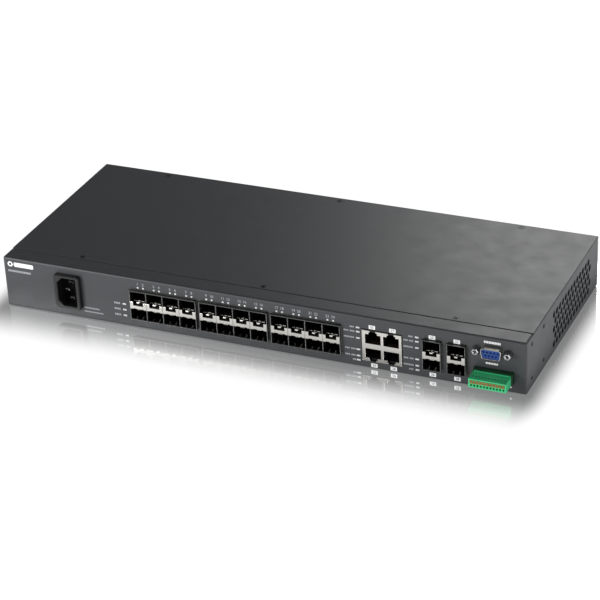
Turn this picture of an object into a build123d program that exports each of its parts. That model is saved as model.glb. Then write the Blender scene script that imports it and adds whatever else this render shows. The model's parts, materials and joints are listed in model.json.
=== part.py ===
"""A 1U rackmount network switch: folded steel case, fibre cages, jacks, console port and alarm terminals.

Millimetres, +Z up. The origin is the centre of the case's underside. The front panel faces -Y and
+X runs to the right of someone who looks at it. Places along the panel are given from its left end.
"""
from build123d import *
import os

os.makedirs("parts", exist_ok=True)

# ---- driving dimensions: the case ----
width = 438.0              # between rack posts, without ears
depth = 180.0              # front panel to rear panel
height = 44.0              # one rack unit, less its clearance
sheet = 1.2                # case steel
left = -width / 2
right = width / 2
front = -depth / 2
back = depth / 2
flange_depth = 15.0        # folded top flange behind the front panel, as far as the cover's seam
seam_gap = 0.4             # between that flange and the cover
ledge = 10.0               # inward flanges that the cover lies on
cover_screw_x = (-157.0, 0.0, 157.0)
cover_screw_front_y = front + flange_depth + 4.5
cover_screw_rear_y = back - 5.5

ground_x = -150.0
ground_z = 14.0
window_slack = 0.2         # around the header and the inlet in the front panel

# ---- rack ear holes, tapped in both sides ----
ear_hole_r = 1.65
ear_spacing_y = 28.0
ear_spacing_z = 29.0
ear_centre_y = front + 26.5
ear_centre_z = 22.75

# ---- side vents ----
vent_pitch = 7.3
vent_across_flats = 5.4
vent_rows = 5
vent_columns = 13
vent_centre_y = front + 111.0
vent_centre_z = 21.1

# ---- boards ----
board_thick = 1.6
board_top = 8.2
board_bottom = board_top - board_thick
main_left = -112.0
main_right = 213.0
main_front = front + 1.8
main_rear = back - 7.5
fan_bay_x = 187.0          # the main board is cut away behind this line, for the fans
fan_bay_y = front + 64.0
power_left = left + 7.0
power_right = -119.0
power_front = front + 40.0
power_rear = back - 7.5

# ---- chips on the main board ----
switch_chip_x = 48.0
switch_chip_y = 20.0
switch_chip_side = 38.0
switch_chip_high = 2.6
switch_sink_side = 58.0
switch_sink_high = 24.0
phy_places = ((-62.0, -18.0), (-10.0, -18.0), (112.0, -18.0))
phy_side = 20.0
phy_high = 1.6
phy_sink_side = 24.0
phy_sink_high = 12.0
memory_places = ((-70.0, 18.0), (-52.0, 18.0), (-70.0, 34.0), (-52.0, 34.0))

# ---- fibre module cages ----
port_pitch = 14.25
cage_sheet = 0.4
cage_proud = 2.5           # how far a cage stands out of the panel
cage_length = 48.0
cage_bottom = board_top
cage_top = 33.5
bar_bottom = 17.6          # the bar between the lower and the upper port
bar_top = 24.2
cage_columns = 4
cage_left = (113.0, 173.3, 233.6)
combo_left = (356.9, 376.4)
latch_wide = 6.0
latch_high = 1.7
latch_deep = 3.0
gasket = 1.0
socket_length = 10.0

# ---- copper jacks ----
jack_left = 308.1
jack_right = 340.1
jack_bottom = board_top
jack_top = 33.2
jack_proud = 1.0
jack_slack = 0.4           # between the shell and its window in the panel
jack_length = 25.0
jack_bore = 18.0
jack_wide = 11.8
jack_high = 7.2
jack_bar_half = 2.45       # half of the bar between the lower and the upper jack
jack_keys = ((6.2, 1.4), (4.2, 0.8))   # latch keyway: width and height of its two steps
jack_x = (317.0, 331.2)
jack_mid_z = (jack_bottom + jack_top) / 2

# ---- console port ----
console_x = 411.8
console_z = 32.6
console_proud = 5.5
dsub_wide = 16.6
dsub_narrow = 14.2
dsub_high = 8.4
dsub_wall = 0.45
jackscrew_spacing = 25.0
jackscrew_flats = 4.8
jackscrew_proud = 5.0
jackscrew_hole_r = 1.2

# ---- alarm terminals ----
ways = 11
way_pitch = 2.5
header_left = 397.4
header_right = 428.1
header_top = 17.9
header_proud = 4.5
header_wall = 0.9
header_length = 13.0
plug_wide = 29.3
plug_bottom = 9.0
plug_top = 16.3
plug_proud = 16.0
plug_nose = 8.0
button_wide = 1.9
button_high = 2.7
button_length = 6.0
button_proud = 0.3
button_travel = 1.0
button_z = 13.75
wire_hole_z = 10.75
wire_hole_r = 0.85
pin_side = 0.8
header_pin_z = (board_top + header_top) / 2

# ---- mains inlet ----
inlet_x = 58.0
inlet_z = 23.0
inlet_wide = 22.4
inlet_high = 29.6
inlet_proud = 4.0
recess_wide = 16.4
recess_high = 24.4
recess_corner = 4.6
recess_deep = 17.0
inlet_body_wide = 19.4
inlet_body_high = 27.0
inlet_body_rear = front + 19.0
blade_wide = 4.0
blade_thick = 2.0
blade_tip = front + 0.5
blade_spacing = 14.0
blade_offset = 2.0         # live and neutral to one side of the centre line, earth to the other

# ---- wires inside ----
mains_r = 1.1
mains_bend = 2.6
mains_tail = power_front + 6.0
harness_r = 0.9
harness_bend = 6.0
harness_ends = (-124.5, -104.5)

# ---- fans ----
fan_side = 40.0
fan_thick = 20.0
fan_bore_r = 18.7
fan_rotor_r = 17.9
fan_hub_r = 11.0
fan_blades = 7
fan_shaft_r = 1.5
fan_shaft_clearance = 0.05
fan_outer_x = right - sheet - 0.6
fan_inner_x = fan_outer_x - fan_thick
fan_z = sheet + fan_side / 2
fan_y = (vent_centre_y - 20.6, vent_centre_y + 20.6)
fan_hole_spacing = 32.0
fan_screw_r = 1.5
bracket_thick = 1.0

# ---- indicators ----
indicator_rows = (33.8, 30.1, 24.7, 14.9, 9.4, 5.7)
indicator_x = (304.8, 352.2)
status_x = 106.8
status_rows = (19.3, 14.2, 9.1)
link_first_x = (122.3, 181.5, 240.7)
link_pitch = 14.0
link_half = 2.3
link_z = 36.0


# ---- shapes that repeat ----
def across(from_left_end):
    """Turn a place along the panel, from its left end, into this frame's x."""
    return from_left_end - width / 2


def block(x0, x1, y0, y1, z0, z1):
    """A box between two opposite corners."""
    return Pos((x0 + x1) / 2, (y0 + y1) / 2, (z0 + z1) / 2) * Box(x1 - x0, y1 - y0, z1 - z0)


def slab_xz(x, z, wide, high, y0, y1):
    """A bar along Y, centred on x and z."""
    return block(x - wide / 2, x + wide / 2, y0, y1, z - high / 2, z + high / 2)


def rod_x(y, z, r, x0, x1):
    """A cylinder along X."""
    return Pos((x0 + x1) / 2, y, z) * Rot(0, 90, 0) * Cylinder(r, x1 - x0)


def rod_y(x, z, r, y0, y1):
    """A cylinder along Y."""
    return Pos(x, (y0 + y1) / 2, z) * Rot(90, 0, 0) * Cylinder(r, y1 - y0)


def rod_z(x, y, r, z0, z1):
    """A cylinder along Z."""
    return Pos(x, y, (z0 + z1) / 2) * Cylinder(r, z1 - z0)


def save(name, *shapes):
    """Write one sub-part, each of its solids kept apart."""
    solids = [solid for shape in shapes for solid in shape.solids()]
    export_step(Compound(solids), os.path.join("parts", f"{name}.step"))


def wire(points, radius, bend):
    """A wire along straight runs that are joined by arcs."""
    path = FilletPolyline(*points, radius=bend)
    start = path @ 0
    return sweep(Plane(start, z_dir=path % 0) * Circle(radius), path=path)


# ---- the case ----
def ear_holes():
    """The four tapped holes for a rack ear, through both sides."""
    holes = []
    for side_y in (-0.5, 0.5):
        for side_z in (-0.5, 0.5):
            y = ear_centre_y + side_y * ear_spacing_y
            z = ear_centre_z + side_z * ear_spacing_z
            holes.append(rod_x(y, z, ear_hole_r, left - 1, right + 1))
    return holes


def vent_holes():
    """Staggered hexagonal holes through both sides."""
    holes = []
    hexagon = RegularPolygon(vent_across_flats / 2, 6, major_radius=False)
    for row in range(vent_rows):
        z = vent_centre_z + (row - (vent_rows - 1) / 2) * vent_pitch * 0.866
        shift = 0.25 if row % 2 else -0.25
        for column in range(vent_columns):
            y = vent_centre_y + (column - (vent_columns - 1) / 2 + shift) * vent_pitch
            for wall_x in (left, right):
                face = Plane((wall_x - 3, y, z), x_dir=(0, 1, 0), z_dir=(1, 0, 0)) * Rot(0, 0, 30) * hexagon
                holes.append(extrude(face, 6))
    return holes


def cage_outline(from_left_end, columns):
    """The outer sides of a cage: left, right."""
    x0 = across(from_left_end)
    return x0, x0 + columns * port_pitch + cage_sheet


def panel_window(x0, x1, z0, z1):
    """A cut through the front panel."""
    return block(x0, x1, front - 1, front + sheet + 0.6, z0, z1)


def indicator_places():
    """Every light pipe in the panel: x, z, width, height."""
    places = [(across(status_x), z, 3.0, 1.4) for z in status_rows]
    places += [(across(x), z, 3.0, 1.4) for x in indicator_x for z in indicator_rows]
    for first in link_first_x:
        for column in range(cage_columns):
            for side in (-link_half, link_half):
                places.append((across(first + column * link_pitch) + side, link_z, 1.6, 1.5))
    return places


def panel_cuts():
    """Every opening in the front panel."""
    cuts = []
    for place, columns in [(x, cage_columns) for x in cage_left] + [(x, 1) for x in combo_left]:
        x0, x1 = cage_outline(place, columns)
        cuts.append(panel_window(x0 - gasket, x1 + gasket, cage_bottom - gasket, cage_top + gasket))
    jack_sides = across(jack_left) - jack_slack, across(jack_right) + jack_slack
    cuts.append(panel_window(*jack_sides, jack_bottom - jack_slack, jack_top + jack_slack))
    body_x = across(inlet_x)
    half_wide = inlet_body_wide / 2 + window_slack
    half_high = inlet_body_high / 2 + window_slack
    body_sides = body_x - half_wide, body_x + half_wide
    cuts.append(panel_window(*body_sides, inlet_z - half_high, inlet_z + half_high))
    header_sides = across(header_left) - window_slack, across(header_right) + window_slack
    cuts.append(panel_window(*header_sides, board_top - window_slack, header_top + window_slack))
    cuts.append(dsub_prism(0.25, front - 1, front + sheet + 0.6))
    cuts += jackscrew_holes(front, front + sheet)
    for x, z, wide, high in indicator_places():
        cuts.append(panel_window(x - wide / 2, x + wide / 2, z - high / 2, z + high / 2))
    return cuts


def base_chassis():
    """Floor, front, rear and sides folded from one sheet, with the flanges that carry the cover."""
    case = block(left, right, front, back, 0, height - sheet)
    case -= block(left + sheet, right - sheet, front + sheet, back - sheet, sheet, height)
    flange_z = height - 2 * sheet
    case += block(left, right, front, front + flange_depth, height - sheet, height)
    case += block(left, left + ledge, front, back, flange_z, height - sheet)
    case += block(right - ledge, right, front, back, flange_z, height - sheet)
    case += block(left, right, back - ledge, back, flange_z, height - sheet)
    seam_y = front + flange_depth
    case += block(left, right, seam_y - 6, seam_y + ledge, flange_z, height - sheet)
    screws = [rod_z(x, y, 1.25, flange_z - 1, height) for x, y in cover_screw_places()]
    ground = rod_y(ground_x, ground_z, 1.65, back - sheet - 1, back + 1)
    return case - ear_holes() - vent_holes() - panel_cuts() - screws - [ground]


def cover_screw_places():
    """Centres of the cover's screws."""
    return [(x, y) for y in (cover_screw_front_y, cover_screw_rear_y) for x in cover_screw_x]


def countersink(x, y):
    """The cone of a flush screw head in the cover."""
    return Pos(x, y, height - sheet / 2) * Cone(1.6, 2.8, sheet)


def top_cover():
    """The flat lid, flush with the sides and with the front flange."""
    lid = block(left, right, front + flange_depth + seam_gap, back, height - sheet, height)
    return lid - [countersink(x, y) for x, y in cover_screw_places()]


def cover_screws():
    """Flush screws that hold the lid to the flanges."""
    screws = []
    for x, y in cover_screw_places():
        head = Pos(x, y, height - sheet / 2 - 0.05) * Cone(1.5, 2.65, sheet - 0.1)
        screw = head + rod_z(x, y, 1.2, height - 5, height - sheet + 0.1)
        socket = Pos(x, y, height - 0.1) * Box(2.6, 0.5, 0.8)
        cross = Pos(x, y, height - 0.1) * Box(0.5, 2.6, 0.8)
        screws.append(screw - [socket, cross])
    return screws


def ground_screw():
    """The earth screw on the rear panel, with its washer."""
    head = rod_y(ground_x, ground_z, 3.6, back + 0.8, back + 3.0)
    slot = block(ground_x - 4, ground_x + 4, back + 2.0, back + 3.5, ground_z - 0.5, ground_z + 0.5)
    screw = head + rod_y(ground_x, ground_z, 1.6, back - 6, back + 1.0) - slot
    washer = rod_y(ground_x, ground_z, 4.6, back, back + 0.8)
    return [screw, washer - rod_y(ground_x, ground_z, 1.65, back - 1, back + 2)]


# ---- boards ----
def main_board_holes():
    """Places of the main board's screws."""
    places = [(x, y) for x in (-106.0, 20.0) for y in (-34.0, 74.0)]
    places += [(-44.0, -34.0), (80.0, -34.0), (100.0, 74.0), (181.0, 74.0), (181.0, -34.0), (208.0, -34.0)]
    return places


def power_board_holes():
    """Places of the supply board's screws."""
    return [(x, y) for x in (power_left + 5, power_right - 5) for y in (power_front + 5, power_rear - 5)]


def main_board():
    """The main circuit board, with a notch for the fans."""
    plate = block(main_left, main_right, main_front, main_rear, board_bottom, board_top)
    plate -= block(fan_bay_x, main_right + 1, fan_bay_y, main_rear + 1, 0, height)
    return plate - [rod_z(x, y, 1.6, 0, height) for x, y in main_board_holes()]


def power_board():
    """The supply's circuit board."""
    plate = block(power_left, power_right, power_front, power_rear, board_bottom, board_top)
    return plate - [rod_z(x, y, 1.6, 0, height) for x, y in power_board_holes()]


def board_standoffs():
    """Pressed-in pillars under both boards."""
    pillars = []
    for x, y in main_board_holes() + power_board_holes():
        pillar = rod_z(x, y, 2.75, sheet, board_bottom) - rod_z(x, y, 1.3, sheet + 0.5, board_top)
        pillars.append(pillar)
    return pillars


def board_screws():
    """Pan-head screws that hold both boards."""
    screws = []
    for x, y in main_board_holes() + power_board_holes():
        screw = rod_z(x, y, 2.8, board_top, board_top + 1.9) + rod_z(x, y, 1.2, board_bottom - 3, board_top)
        screws.append(screw - Pos(x, y, board_top + 1.7) * Box(2.6, 0.6, 1.2))
    return screws


def chip(x, y, side, high):
    """A flat square chip on the main board."""
    return block(x - side / 2, x + side / 2, y - side / 2, y + side / 2, board_top, board_top + high)


def heatsink(x, y, z, side, high, fins):
    """A finned aluminium heatsink that stands on a chip."""
    base = 3.0
    sink = block(x - side / 2, x + side / 2, y - side / 2, y + side / 2, z, z + base)
    fin = 1.2
    step = (side - fin) / (fins - 1)
    for number in range(fins):
        fin_x = x - side / 2 + number * step
        sink += block(fin_x, fin_x + fin, y - side / 2, y + side / 2, z + base, z + high)
    return sink


def switch_heatsink():
    """The switch chip's heatsink."""
    foot_z = board_top + switch_chip_high
    return heatsink(switch_chip_x, switch_chip_y, foot_z, switch_sink_side, switch_sink_high, 13)


def phy_heatsinks():
    """One small heatsink on each line chip."""
    return [heatsink(x, y, board_top + phy_high, phy_sink_side, phy_sink_high, 6) for x, y in phy_places]


def memory_chips():
    """Four memory chips beside the processor."""
    return [block(x - 6, x + 6, y - 5, y + 5, board_top, board_top + 1.1) for x, y in memory_places]


def board_capacitors():
    """Electrolytic capacitors near the power input."""
    return [rod_z(-96.0 + 11 * column, 66.0 - 11 * row, 4.0, board_top, board_top + 11.5)
            for column in range(3) for row in range(2)]


def power_inductors():
    """Moulded inductors of the board's converters."""
    return [block(x - 5, x + 5, 57.0, 67.0, board_top, board_top + 5) for x in (-52.0, -36.0, -20.0, -4.0)]


# ---- fibre module cages ----
def cage(from_left_end, columns):
    """A stacked cage for two rows of modules: thin walls, dividers and the bars between the rows."""
    x0, x1 = cage_outline(from_left_end, columns)
    y0 = front - cage_proud
    y1 = y0 + cage_length
    inner_y = y1 - cage_sheet
    inner_z = cage_bottom + cage_sheet, cage_top - cage_sheet
    pieces = [
        block(x0, x1, y0, y1, inner_z[1], cage_top),
        block(x0, x1, y0, y1, cage_bottom, inner_z[0]),
        block(x0, x1, inner_y, y1, *inner_z),
    ]
    for wall in range(columns + 1):
        wall_x = x0 + wall * port_pitch
        pieces.append(block(wall_x, wall_x + cage_sheet, y0, inner_y, *inner_z))
    for column in range(columns):
        bar_x0 = x0 + column * port_pitch + cage_sheet
        bar_x1 = bar_x0 + port_pitch - cage_sheet
        pieces.append(port_bar(bar_x0, bar_x1, y0, inner_y))
    return pieces


def port_bar(x0, x1, y0, y1):
    """The folded channel between a lower and an upper port, notched for both module latches."""
    bar = block(x0, x1, y0, y1, bar_bottom, bar_top)
    bar -= block(x0, x1, y0 + cage_sheet, y1 + 1, bar_bottom + cage_sheet, bar_top - cage_sheet)
    middle = (x0 + x1) / 2
    for z0, z1 in ((bar_bottom - 1, bar_bottom + latch_high), (bar_top - latch_high, bar_top + 1)):
        bar -= block(middle - latch_wide / 2, middle + latch_wide / 2, y0 - 1, y0 + latch_deep, z0, z1)
    return bar


def port_columns():
    """The middle of each column of ports, in both kinds of cage."""
    middles = []
    for place, columns in [(x, cage_columns) for x in cage_left] + [(x, 1) for x in combo_left]:
        x0, _ = cage_outline(place, columns)
        middles += [x0 + cage_sheet / 2 + (column + 0.5) * port_pitch for column in range(columns)]
    return middles


def sfp_connectors():
    """The board connector at the back of every module port, with its card slot."""
    sockets = []
    y1 = front - cage_proud + cage_length - cage_sheet
    y0 = y1 - socket_length
    for x in port_columns():
        for z0, z1 in ((cage_bottom + cage_sheet, bar_bottom), (bar_top, cage_top - cage_sheet)):
            middle = (z0 + z1) / 2
            socket = block(x - 5.7, x + 5.7, y0, y1, z0, middle + 2.2)
            sockets.append(socket - block(x - 4.6, x + 4.6, y0 - 1, y0 + 6, middle - 0.6, middle + 0.6))
    return sockets


def cage_gaskets():
    """Spring gasket strips that fill the gap between each cage and the panel."""
    rings = []
    for place, columns in [(x, cage_columns) for x in cage_left] + [(x, 1) for x in combo_left]:
        x0, x1 = cage_outline(place, columns)
        y0 = front - 0.3
        y1 = front + sheet
        ring = block(x0 - gasket, x1 + gasket, y0, y1, cage_bottom - gasket, cage_top + gasket)
        rings.append(ring - block(x0, x1, y0 - 1, y1 + 1, cage_bottom, cage_top))
    return rings


# ---- copper jacks ----
def jack_cavity(x, upper, y0, y1):
    """The opening of one jack: the plug's body and the stepped keyway for its latch."""
    sign = 1 if upper else -1
    start = jack_mid_z + sign * jack_bar_half
    cut = slab(x, jack_wide, y0, y1, start, start + sign * jack_high)
    level = start + sign * jack_high
    for key_wide, key_high in jack_keys:
        cut += slab(x, key_wide, y0, y1, level - sign * 0.1, level + sign * key_high)
        level += sign * key_high
    return cut


def slab(x, wide, y0, y1, za, zb):
    """A block centred on x, between two heights in either order."""
    return block(x - wide / 2, x + wide / 2, y0, y1, min(za, zb), max(za, zb))


def jack_cavities(y0, y1):
    """All four jack openings."""
    return [jack_cavity(across(x), upper, y0, y1) for x in jack_x for upper in (False, True)]


def rj45_shield():
    """The tinned shell around the four jacks."""
    y0 = front - jack_proud
    y1 = y0 + jack_length
    x0 = across(jack_left)
    x1 = across(jack_right)
    shell = block(x0, x1, y0, y1, jack_bottom, jack_top)
    shell -= block(x0 + cage_sheet, x1 - cage_sheet, y0 + cage_sheet, y1 + 1,
                   jack_bottom + cage_sheet, jack_top - cage_sheet)
    return shell - jack_cavities(y0 - 1, y0 + 1)


def rj45_housing():
    """The black moulding inside the shell, with a bore for each plug."""
    y0 = front - jack_proud + cage_sheet
    y1 = front - jack_proud + jack_length
    moulding = block(across(jack_left) + cage_sheet, across(jack_right) - cage_sheet, y0, y1,
                     jack_bottom + cage_sheet, jack_top - cage_sheet)
    return moulding - jack_cavities(y0 - 1, y0 + jack_bore)


def rj45_contacts():
    """Eight sprung contact wires in each jack."""
    contacts = []
    pitch = 1.02
    y0 = front - jack_proud + 4.0
    y1 = front - jack_proud + cage_sheet + jack_bore
    for x in jack_x:
        for sign in (-1, 1):
            base_z = jack_mid_z + sign * jack_bar_half
            rise = base_z + sign * 2.6
            inner = base_z + sign * 2.2
            for number in range(8):
                contact_x = across(x) + (number - 3.5) * pitch
                outline = Polyline((y0, base_z), (y1, rise), (y1, inner), (y0 + 1, base_z), close=True)
                face = Plane((contact_x - 0.18, 0, 0), x_dir=(0, 1, 0), z_dir=(1, 0, 0)) * make_face(outline)
                contacts.append(extrude(face, 0.36))
    return contacts


# ---- console port ----
def dsub_prism(grow, y0, y1):
    """The connector's D outline, grown by a margin, from y0 to y1."""
    half_wide = dsub_wide / 2 + grow
    half_narrow = dsub_narrow / 2 + grow
    half_high = dsub_high / 2 + grow
    upper = (-half_wide, half_high), (half_wide, half_high)
    lower = (half_narrow, -half_high), (-half_narrow, -half_high)
    outline = Polyline(*upper, *lower, close=True)
    face = fillet(make_face(outline).vertices(), 2.0 + grow)
    plane = Plane((across(console_x), y0, console_z), x_dir=(1, 0, 0), z_dir=(0, -1, 0))
    return extrude(plane * face, -(y1 - y0))


def dsub_shell():
    """The metal shell and its mounting plate behind the panel."""
    plate_y0 = front + sheet
    plate_y1 = plate_y0 + 0.8
    x = across(console_x)
    tube = dsub_prism(0, front - console_proud, plate_y1)
    plate = block(x - 15.4, x + 15.4, plate_y0, plate_y1, console_z - 6.2, console_z + 6.2)
    bore = dsub_prism(-dsub_wall, front - console_proud - 1, plate_y1 + 1)
    return tube + plate - bore - jackscrew_holes(plate_y0, plate_y1)


def jackscrew_holes(y0, y1):
    """Clear holes for both jackscrews, through a plate between y0 and y1."""
    places = [across(console_x) + side * jackscrew_spacing for side in (-0.5, 0.5)]
    return [rod_y(x, console_z, 1.6, y0 - 1, y1 + 1) for x in places]


def dsub_insulator():
    """The moulded insert with two rows of contact holes."""
    y0 = front - console_proud + 0.4
    y1 = front + sheet + 0.8
    x = across(console_x)
    insert = dsub_prism(-dsub_wall, y0, y1)
    insert += block(x - 9.0, x + 9.0, y1, y1 + 5.5, console_z - 4.6, console_z + 4.6)
    holes = []
    for count, z in ((5, console_z + 1.42), (4, console_z - 1.42)):
        for number in range(count):
            hole_x = x + (number - (count - 1) / 2) * 2.77
            holes.append(rod_y(hole_x, z, 0.6, y0 - 1, y0 + 5))
    return insert - holes


def hexagon_y(x, z, flats, y0, y1):
    """A hexagonal bar along Y."""
    plane = Plane((x, y0, z), x_dir=(1, 0, 0), z_dir=(0, -1, 0))
    return extrude(plane * RegularPolygon(flats / 2, 6, major_radius=False), -(y1 - y0))


def dsub_jackscrews():
    """The two hexagonal pillars beside the connector, each with a tapped bore."""
    pillars = []
    for side in (-0.5, 0.5):
        x = across(console_x) + side * jackscrew_spacing
        pillar = hexagon_y(x, console_z, jackscrew_flats, front - jackscrew_proud, front)
        pillar += rod_y(x, console_z, 1.4, front - 1, front + 7.5)
        tip = front - jackscrew_proud
        pillars.append(pillar - rod_y(x, console_z, jackscrew_hole_r, tip - 1, front + 1.0))
    return pillars


def console_board():
    """The small upright board behind the console port."""
    x = across(console_x)
    y0 = front + sheet + 6.3
    board = block(x - 16, x + 16, y0, y0 + board_thick, console_z - 8.0, console_z + 8.0)
    return board - jackscrew_holes(y0, y0 + board_thick)


def console_ribbon():
    """The flat cable from the console board down to the main board."""
    x = across(console_x)
    y0 = front + sheet + 6.3 + board_thick
    y1 = y0 + 4.5
    shelf = block(x - 6.4, x + 6.4, y0, y1, console_z - 3.0, console_z - 2.0)
    return shelf + block(x - 6.4, x + 6.4, y1 - 1.0, y1, board_top, console_z - 2.0)


# ---- alarm terminals ----
def way_places():
    """The middle of each terminal way."""
    middle = across((header_left + header_right) / 2)
    return [middle + (number - (ways - 1) / 2) * way_pitch for number in range(ways)]


def terminal_header():
    """The board header: a shroud that is open to the front."""
    y0 = front - header_proud
    y1 = y0 + header_length
    x0 = across(header_left)
    x1 = across(header_right)
    shroud = block(x0, x1, y0, y1, board_top, header_top)
    pocket_z = board_top + header_wall, header_top - header_wall
    pocket = block(x0 + header_wall, x1 - header_wall, y0 - 1, y1 - 2.5, *pocket_z)
    pins = [block(x - pin_side / 2, x + pin_side / 2, y1 - 4, y1 + 1,
                  header_pin_z - pin_side / 2, header_pin_z + pin_side / 2) for x in way_places()]
    return shroud - pocket - pins


def terminal_pins():
    """The header's square pins, bent down to the board behind it."""
    pins = []
    y1 = front - header_proud + header_length
    half = pin_side / 2
    tip = front - header_proud + 3.5
    tail_top = header_pin_z + half
    for x in way_places():
        pin = block(x - half, x + half, tip, y1 + 1.6, header_pin_z - half, tail_top)
        pin += block(x - half, x + half, y1 + 0.8, y1 + 1.6, board_top, tail_top)
        pins.append(pin)
    return pins


def terminal_plug():
    """The plug: a body with wire holes and button wells, and a nose that fills the header."""
    middle = across((header_left + header_right) / 2)
    y0 = front - plug_proud
    y_step = front - header_proud - 0.3
    y1 = y_step + plug_nose
    body = block(middle - plug_wide / 2, middle + plug_wide / 2, y0, y_step, plug_bottom, plug_top)
    nose_half = (header_right - header_left) / 2 - header_wall - 0.25
    body += block(middle - nose_half, middle + nose_half, y_step, y1,
                  board_top + header_wall + 0.25, header_top - header_wall - 0.25)
    cuts = []
    for x in way_places():
        cuts.append(rod_y(x, wire_hole_z, wire_hole_r, y0 - 1, y0 + 9))
        cuts.append(block(x - button_wide / 2 - 0.12, x + button_wide / 2 + 0.12, y0 - 1,
                          y0 + button_length + button_travel + 0.4,
                          button_z - button_high / 2 - 0.12, button_z + button_high / 2 + 0.12))
        cuts.append(rod_z(x, y0 + 4.9, 0.5, plug_top - 0.7, plug_top + 1))
        slack = pin_side / 2 + 0.15
        cuts.append(block(x - slack, x + slack, front - header_proud + 3.0, y1 + 1,
                          header_pin_z - slack, header_pin_z + slack))
    return body - cuts


def release_button(number):
    """One push button that opens a terminal's spring."""
    x = way_places()[number]
    y0 = front - plug_proud - button_proud
    button = slab_xz(x, button_z, button_wide, button_high, y0, y0 + button_length)
    return button - block(x - 0.5, x + 0.5, y0 - 1, y0 + 0.5, button_z - 0.3, button_z + 0.3)


# ---- mains inlet ----
def recess_prism(y0, y1):
    """The inlet's recess: a rectangle with two cut corners on its earth side."""
    half_wide = recess_wide / 2
    half_high = recess_high / 2
    outline = Polyline(
        (half_wide, -half_high), (half_wide, half_high), (recess_corner - half_wide, half_high),
        (-half_wide, half_high - recess_corner), (-half_wide, recess_corner - half_high),
        (recess_corner - half_wide, -half_high), close=True)
    plane = Plane((across(inlet_x), y0, inlet_z), x_dir=(1, 0, 0), z_dir=(0, -1, 0))
    return extrude(plane * make_face(outline), -(y1 - y0))


def blade_places():
    """The three contact blades: x, z."""
    x = across(inlet_x)
    return [(x + blade_offset, inlet_z - blade_spacing / 2), (x + blade_offset, inlet_z + blade_spacing / 2),
            (x - blade_offset, inlet_z)]


def inlet_housing():
    """The snap-in appliance inlet, its flange against the panel."""
    x = across(inlet_x)
    y0 = front - inlet_proud
    flange = slab_xz(x, inlet_z, inlet_wide, inlet_high, y0, front)
    body = slab_xz(x, inlet_z, inlet_body_wide, inlet_body_high, front, inlet_body_rear)
    housing = flange + body - recess_prism(y0 - 1, y0 + recess_deep)
    return housing - blades(y0, inlet_body_rear + 1)


def blades(y0, y1):
    """Bars with the section of the contact blades."""
    return [slab_xz(x, z, blade_wide, blade_thick, y0, y1) for x, z in blade_places()]


def inlet_blades():
    """Three blades that end in solder tabs behind the housing."""
    return blades(blade_tip, inlet_body_rear + 5.0)


def mains_wires():
    """Three wires from the inlet's tabs down to the supply board."""
    wires = []
    for number, (x, z) in enumerate(blade_places()):
        end_x = across(inlet_x) + (number - 1) * 8.0 - 6.0
        y0 = inlet_body_rear + 5.0
        turn_y = y0 + 6.0
        route = [(x, y0, z), (x, turn_y, z), (end_x, turn_y + 9, 16.0 + z / 4),
                 (end_x, mains_tail, board_top + 8.0), (end_x, mains_tail, board_top)]
        wires.append(wire(route, mains_r, mains_bend))
    return wires


# ---- supply ----
def power_transformer():
    """The ferrite transformer: coil former between two core halves."""
    core = block(-178, -150, -6, 26, board_top, board_top + 24)
    window = block(-171, -157, -8, 28, board_top + 5, board_top + 19)
    coil = block(-171, -157, -11, 31, board_top + 5, board_top + 19)
    return [core - window, coil]


def power_capacitors():
    """Two mains capacitors and three output capacitors."""
    cans = [rod_z(x, -30.0, 9.0, board_top, board_top + 27) for x in (-196.0, -174.0)]
    cans += [rod_z(-136.0, y, 5.0, board_top, board_top + 20) for y in (30.0, 43.0, 56.0)]
    return cans


def power_heatsinks():
    """Two aluminium plates for the transistors."""
    top = board_top + 26
    return [block(-205, -202, -8, 42, board_top, top), block(-148, -145, 34, 74, board_top, top)]


def power_choke():
    """The ring-shaped line choke, standing on the board."""
    ring = rod_y(-140.0, board_top + 11.0, 11.0, -36, -24)
    return ring - rod_y(-140.0, board_top + 11.0, 5.0, -37, -23)


def power_insulator():
    """The plastic sheet under the supply board."""
    y0 = power_front + 9
    y1 = power_rear - 9
    return block(power_left + 1, power_right - 1, y0, y1, sheet, sheet + 0.4)


def power_harness():
    """Plugs and wires that bring low voltage from the supply board to the main board."""
    plug_z = board_top + 8
    plugs = [block(x - 2.5, x + 2.5, 4, 22, board_top, plug_z) for x in harness_ends]
    wires = []
    for number in range(4):
        y = 7.0 + 4.0 * number
        top = board_top + 17.0
        route = [(harness_ends[0], y, plug_z), (harness_ends[0], y, top),
                 (harness_ends[1], y, top), (harness_ends[1], y, plug_z)]
        wires.append(wire(route, harness_r, harness_bend))
    return plugs + wires


# ---- fans ----
def fan_frames():
    """Two square frames with a round duct."""
    frames = []
    for y in fan_y:
        half = fan_side / 2
        frame = block(fan_inner_x, fan_outer_x, y - half, y + half, fan_z - half, fan_z + half)
        frame -= rod_x(y, fan_z, fan_bore_r, fan_inner_x - 1, fan_outer_x + 1)
        for dy in (-0.5, 0.5):
            for dz in (-0.5, 0.5):
                frame -= rod_x(y + dy * fan_hole_spacing, fan_z + dz * fan_hole_spacing, fan_screw_r,
                               fan_inner_x - 1, fan_outer_x + 1)
        for angle in (45, 135, 225, 315):
            strut = block(0, 2.0, fan_hub_r - 0.5, fan_bore_r + 0.4, -1.1, 1.1)
            frame += Pos(fan_inner_x, y, fan_z) * Rot(angle, 0, 0) * strut
        frame += rod_x(y, fan_z, fan_hub_r, fan_inner_x, fan_inner_x + 2.0)
        frame += rod_x(y, fan_z, 3.4, fan_inner_x + 1.0, fan_inner_x + 14.0)
        bore_r = fan_shaft_r + fan_shaft_clearance
        frames.append(frame - rod_x(y, fan_z, bore_r, fan_inner_x + 1.0, fan_inner_x + 15.0))
    return frames


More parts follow.
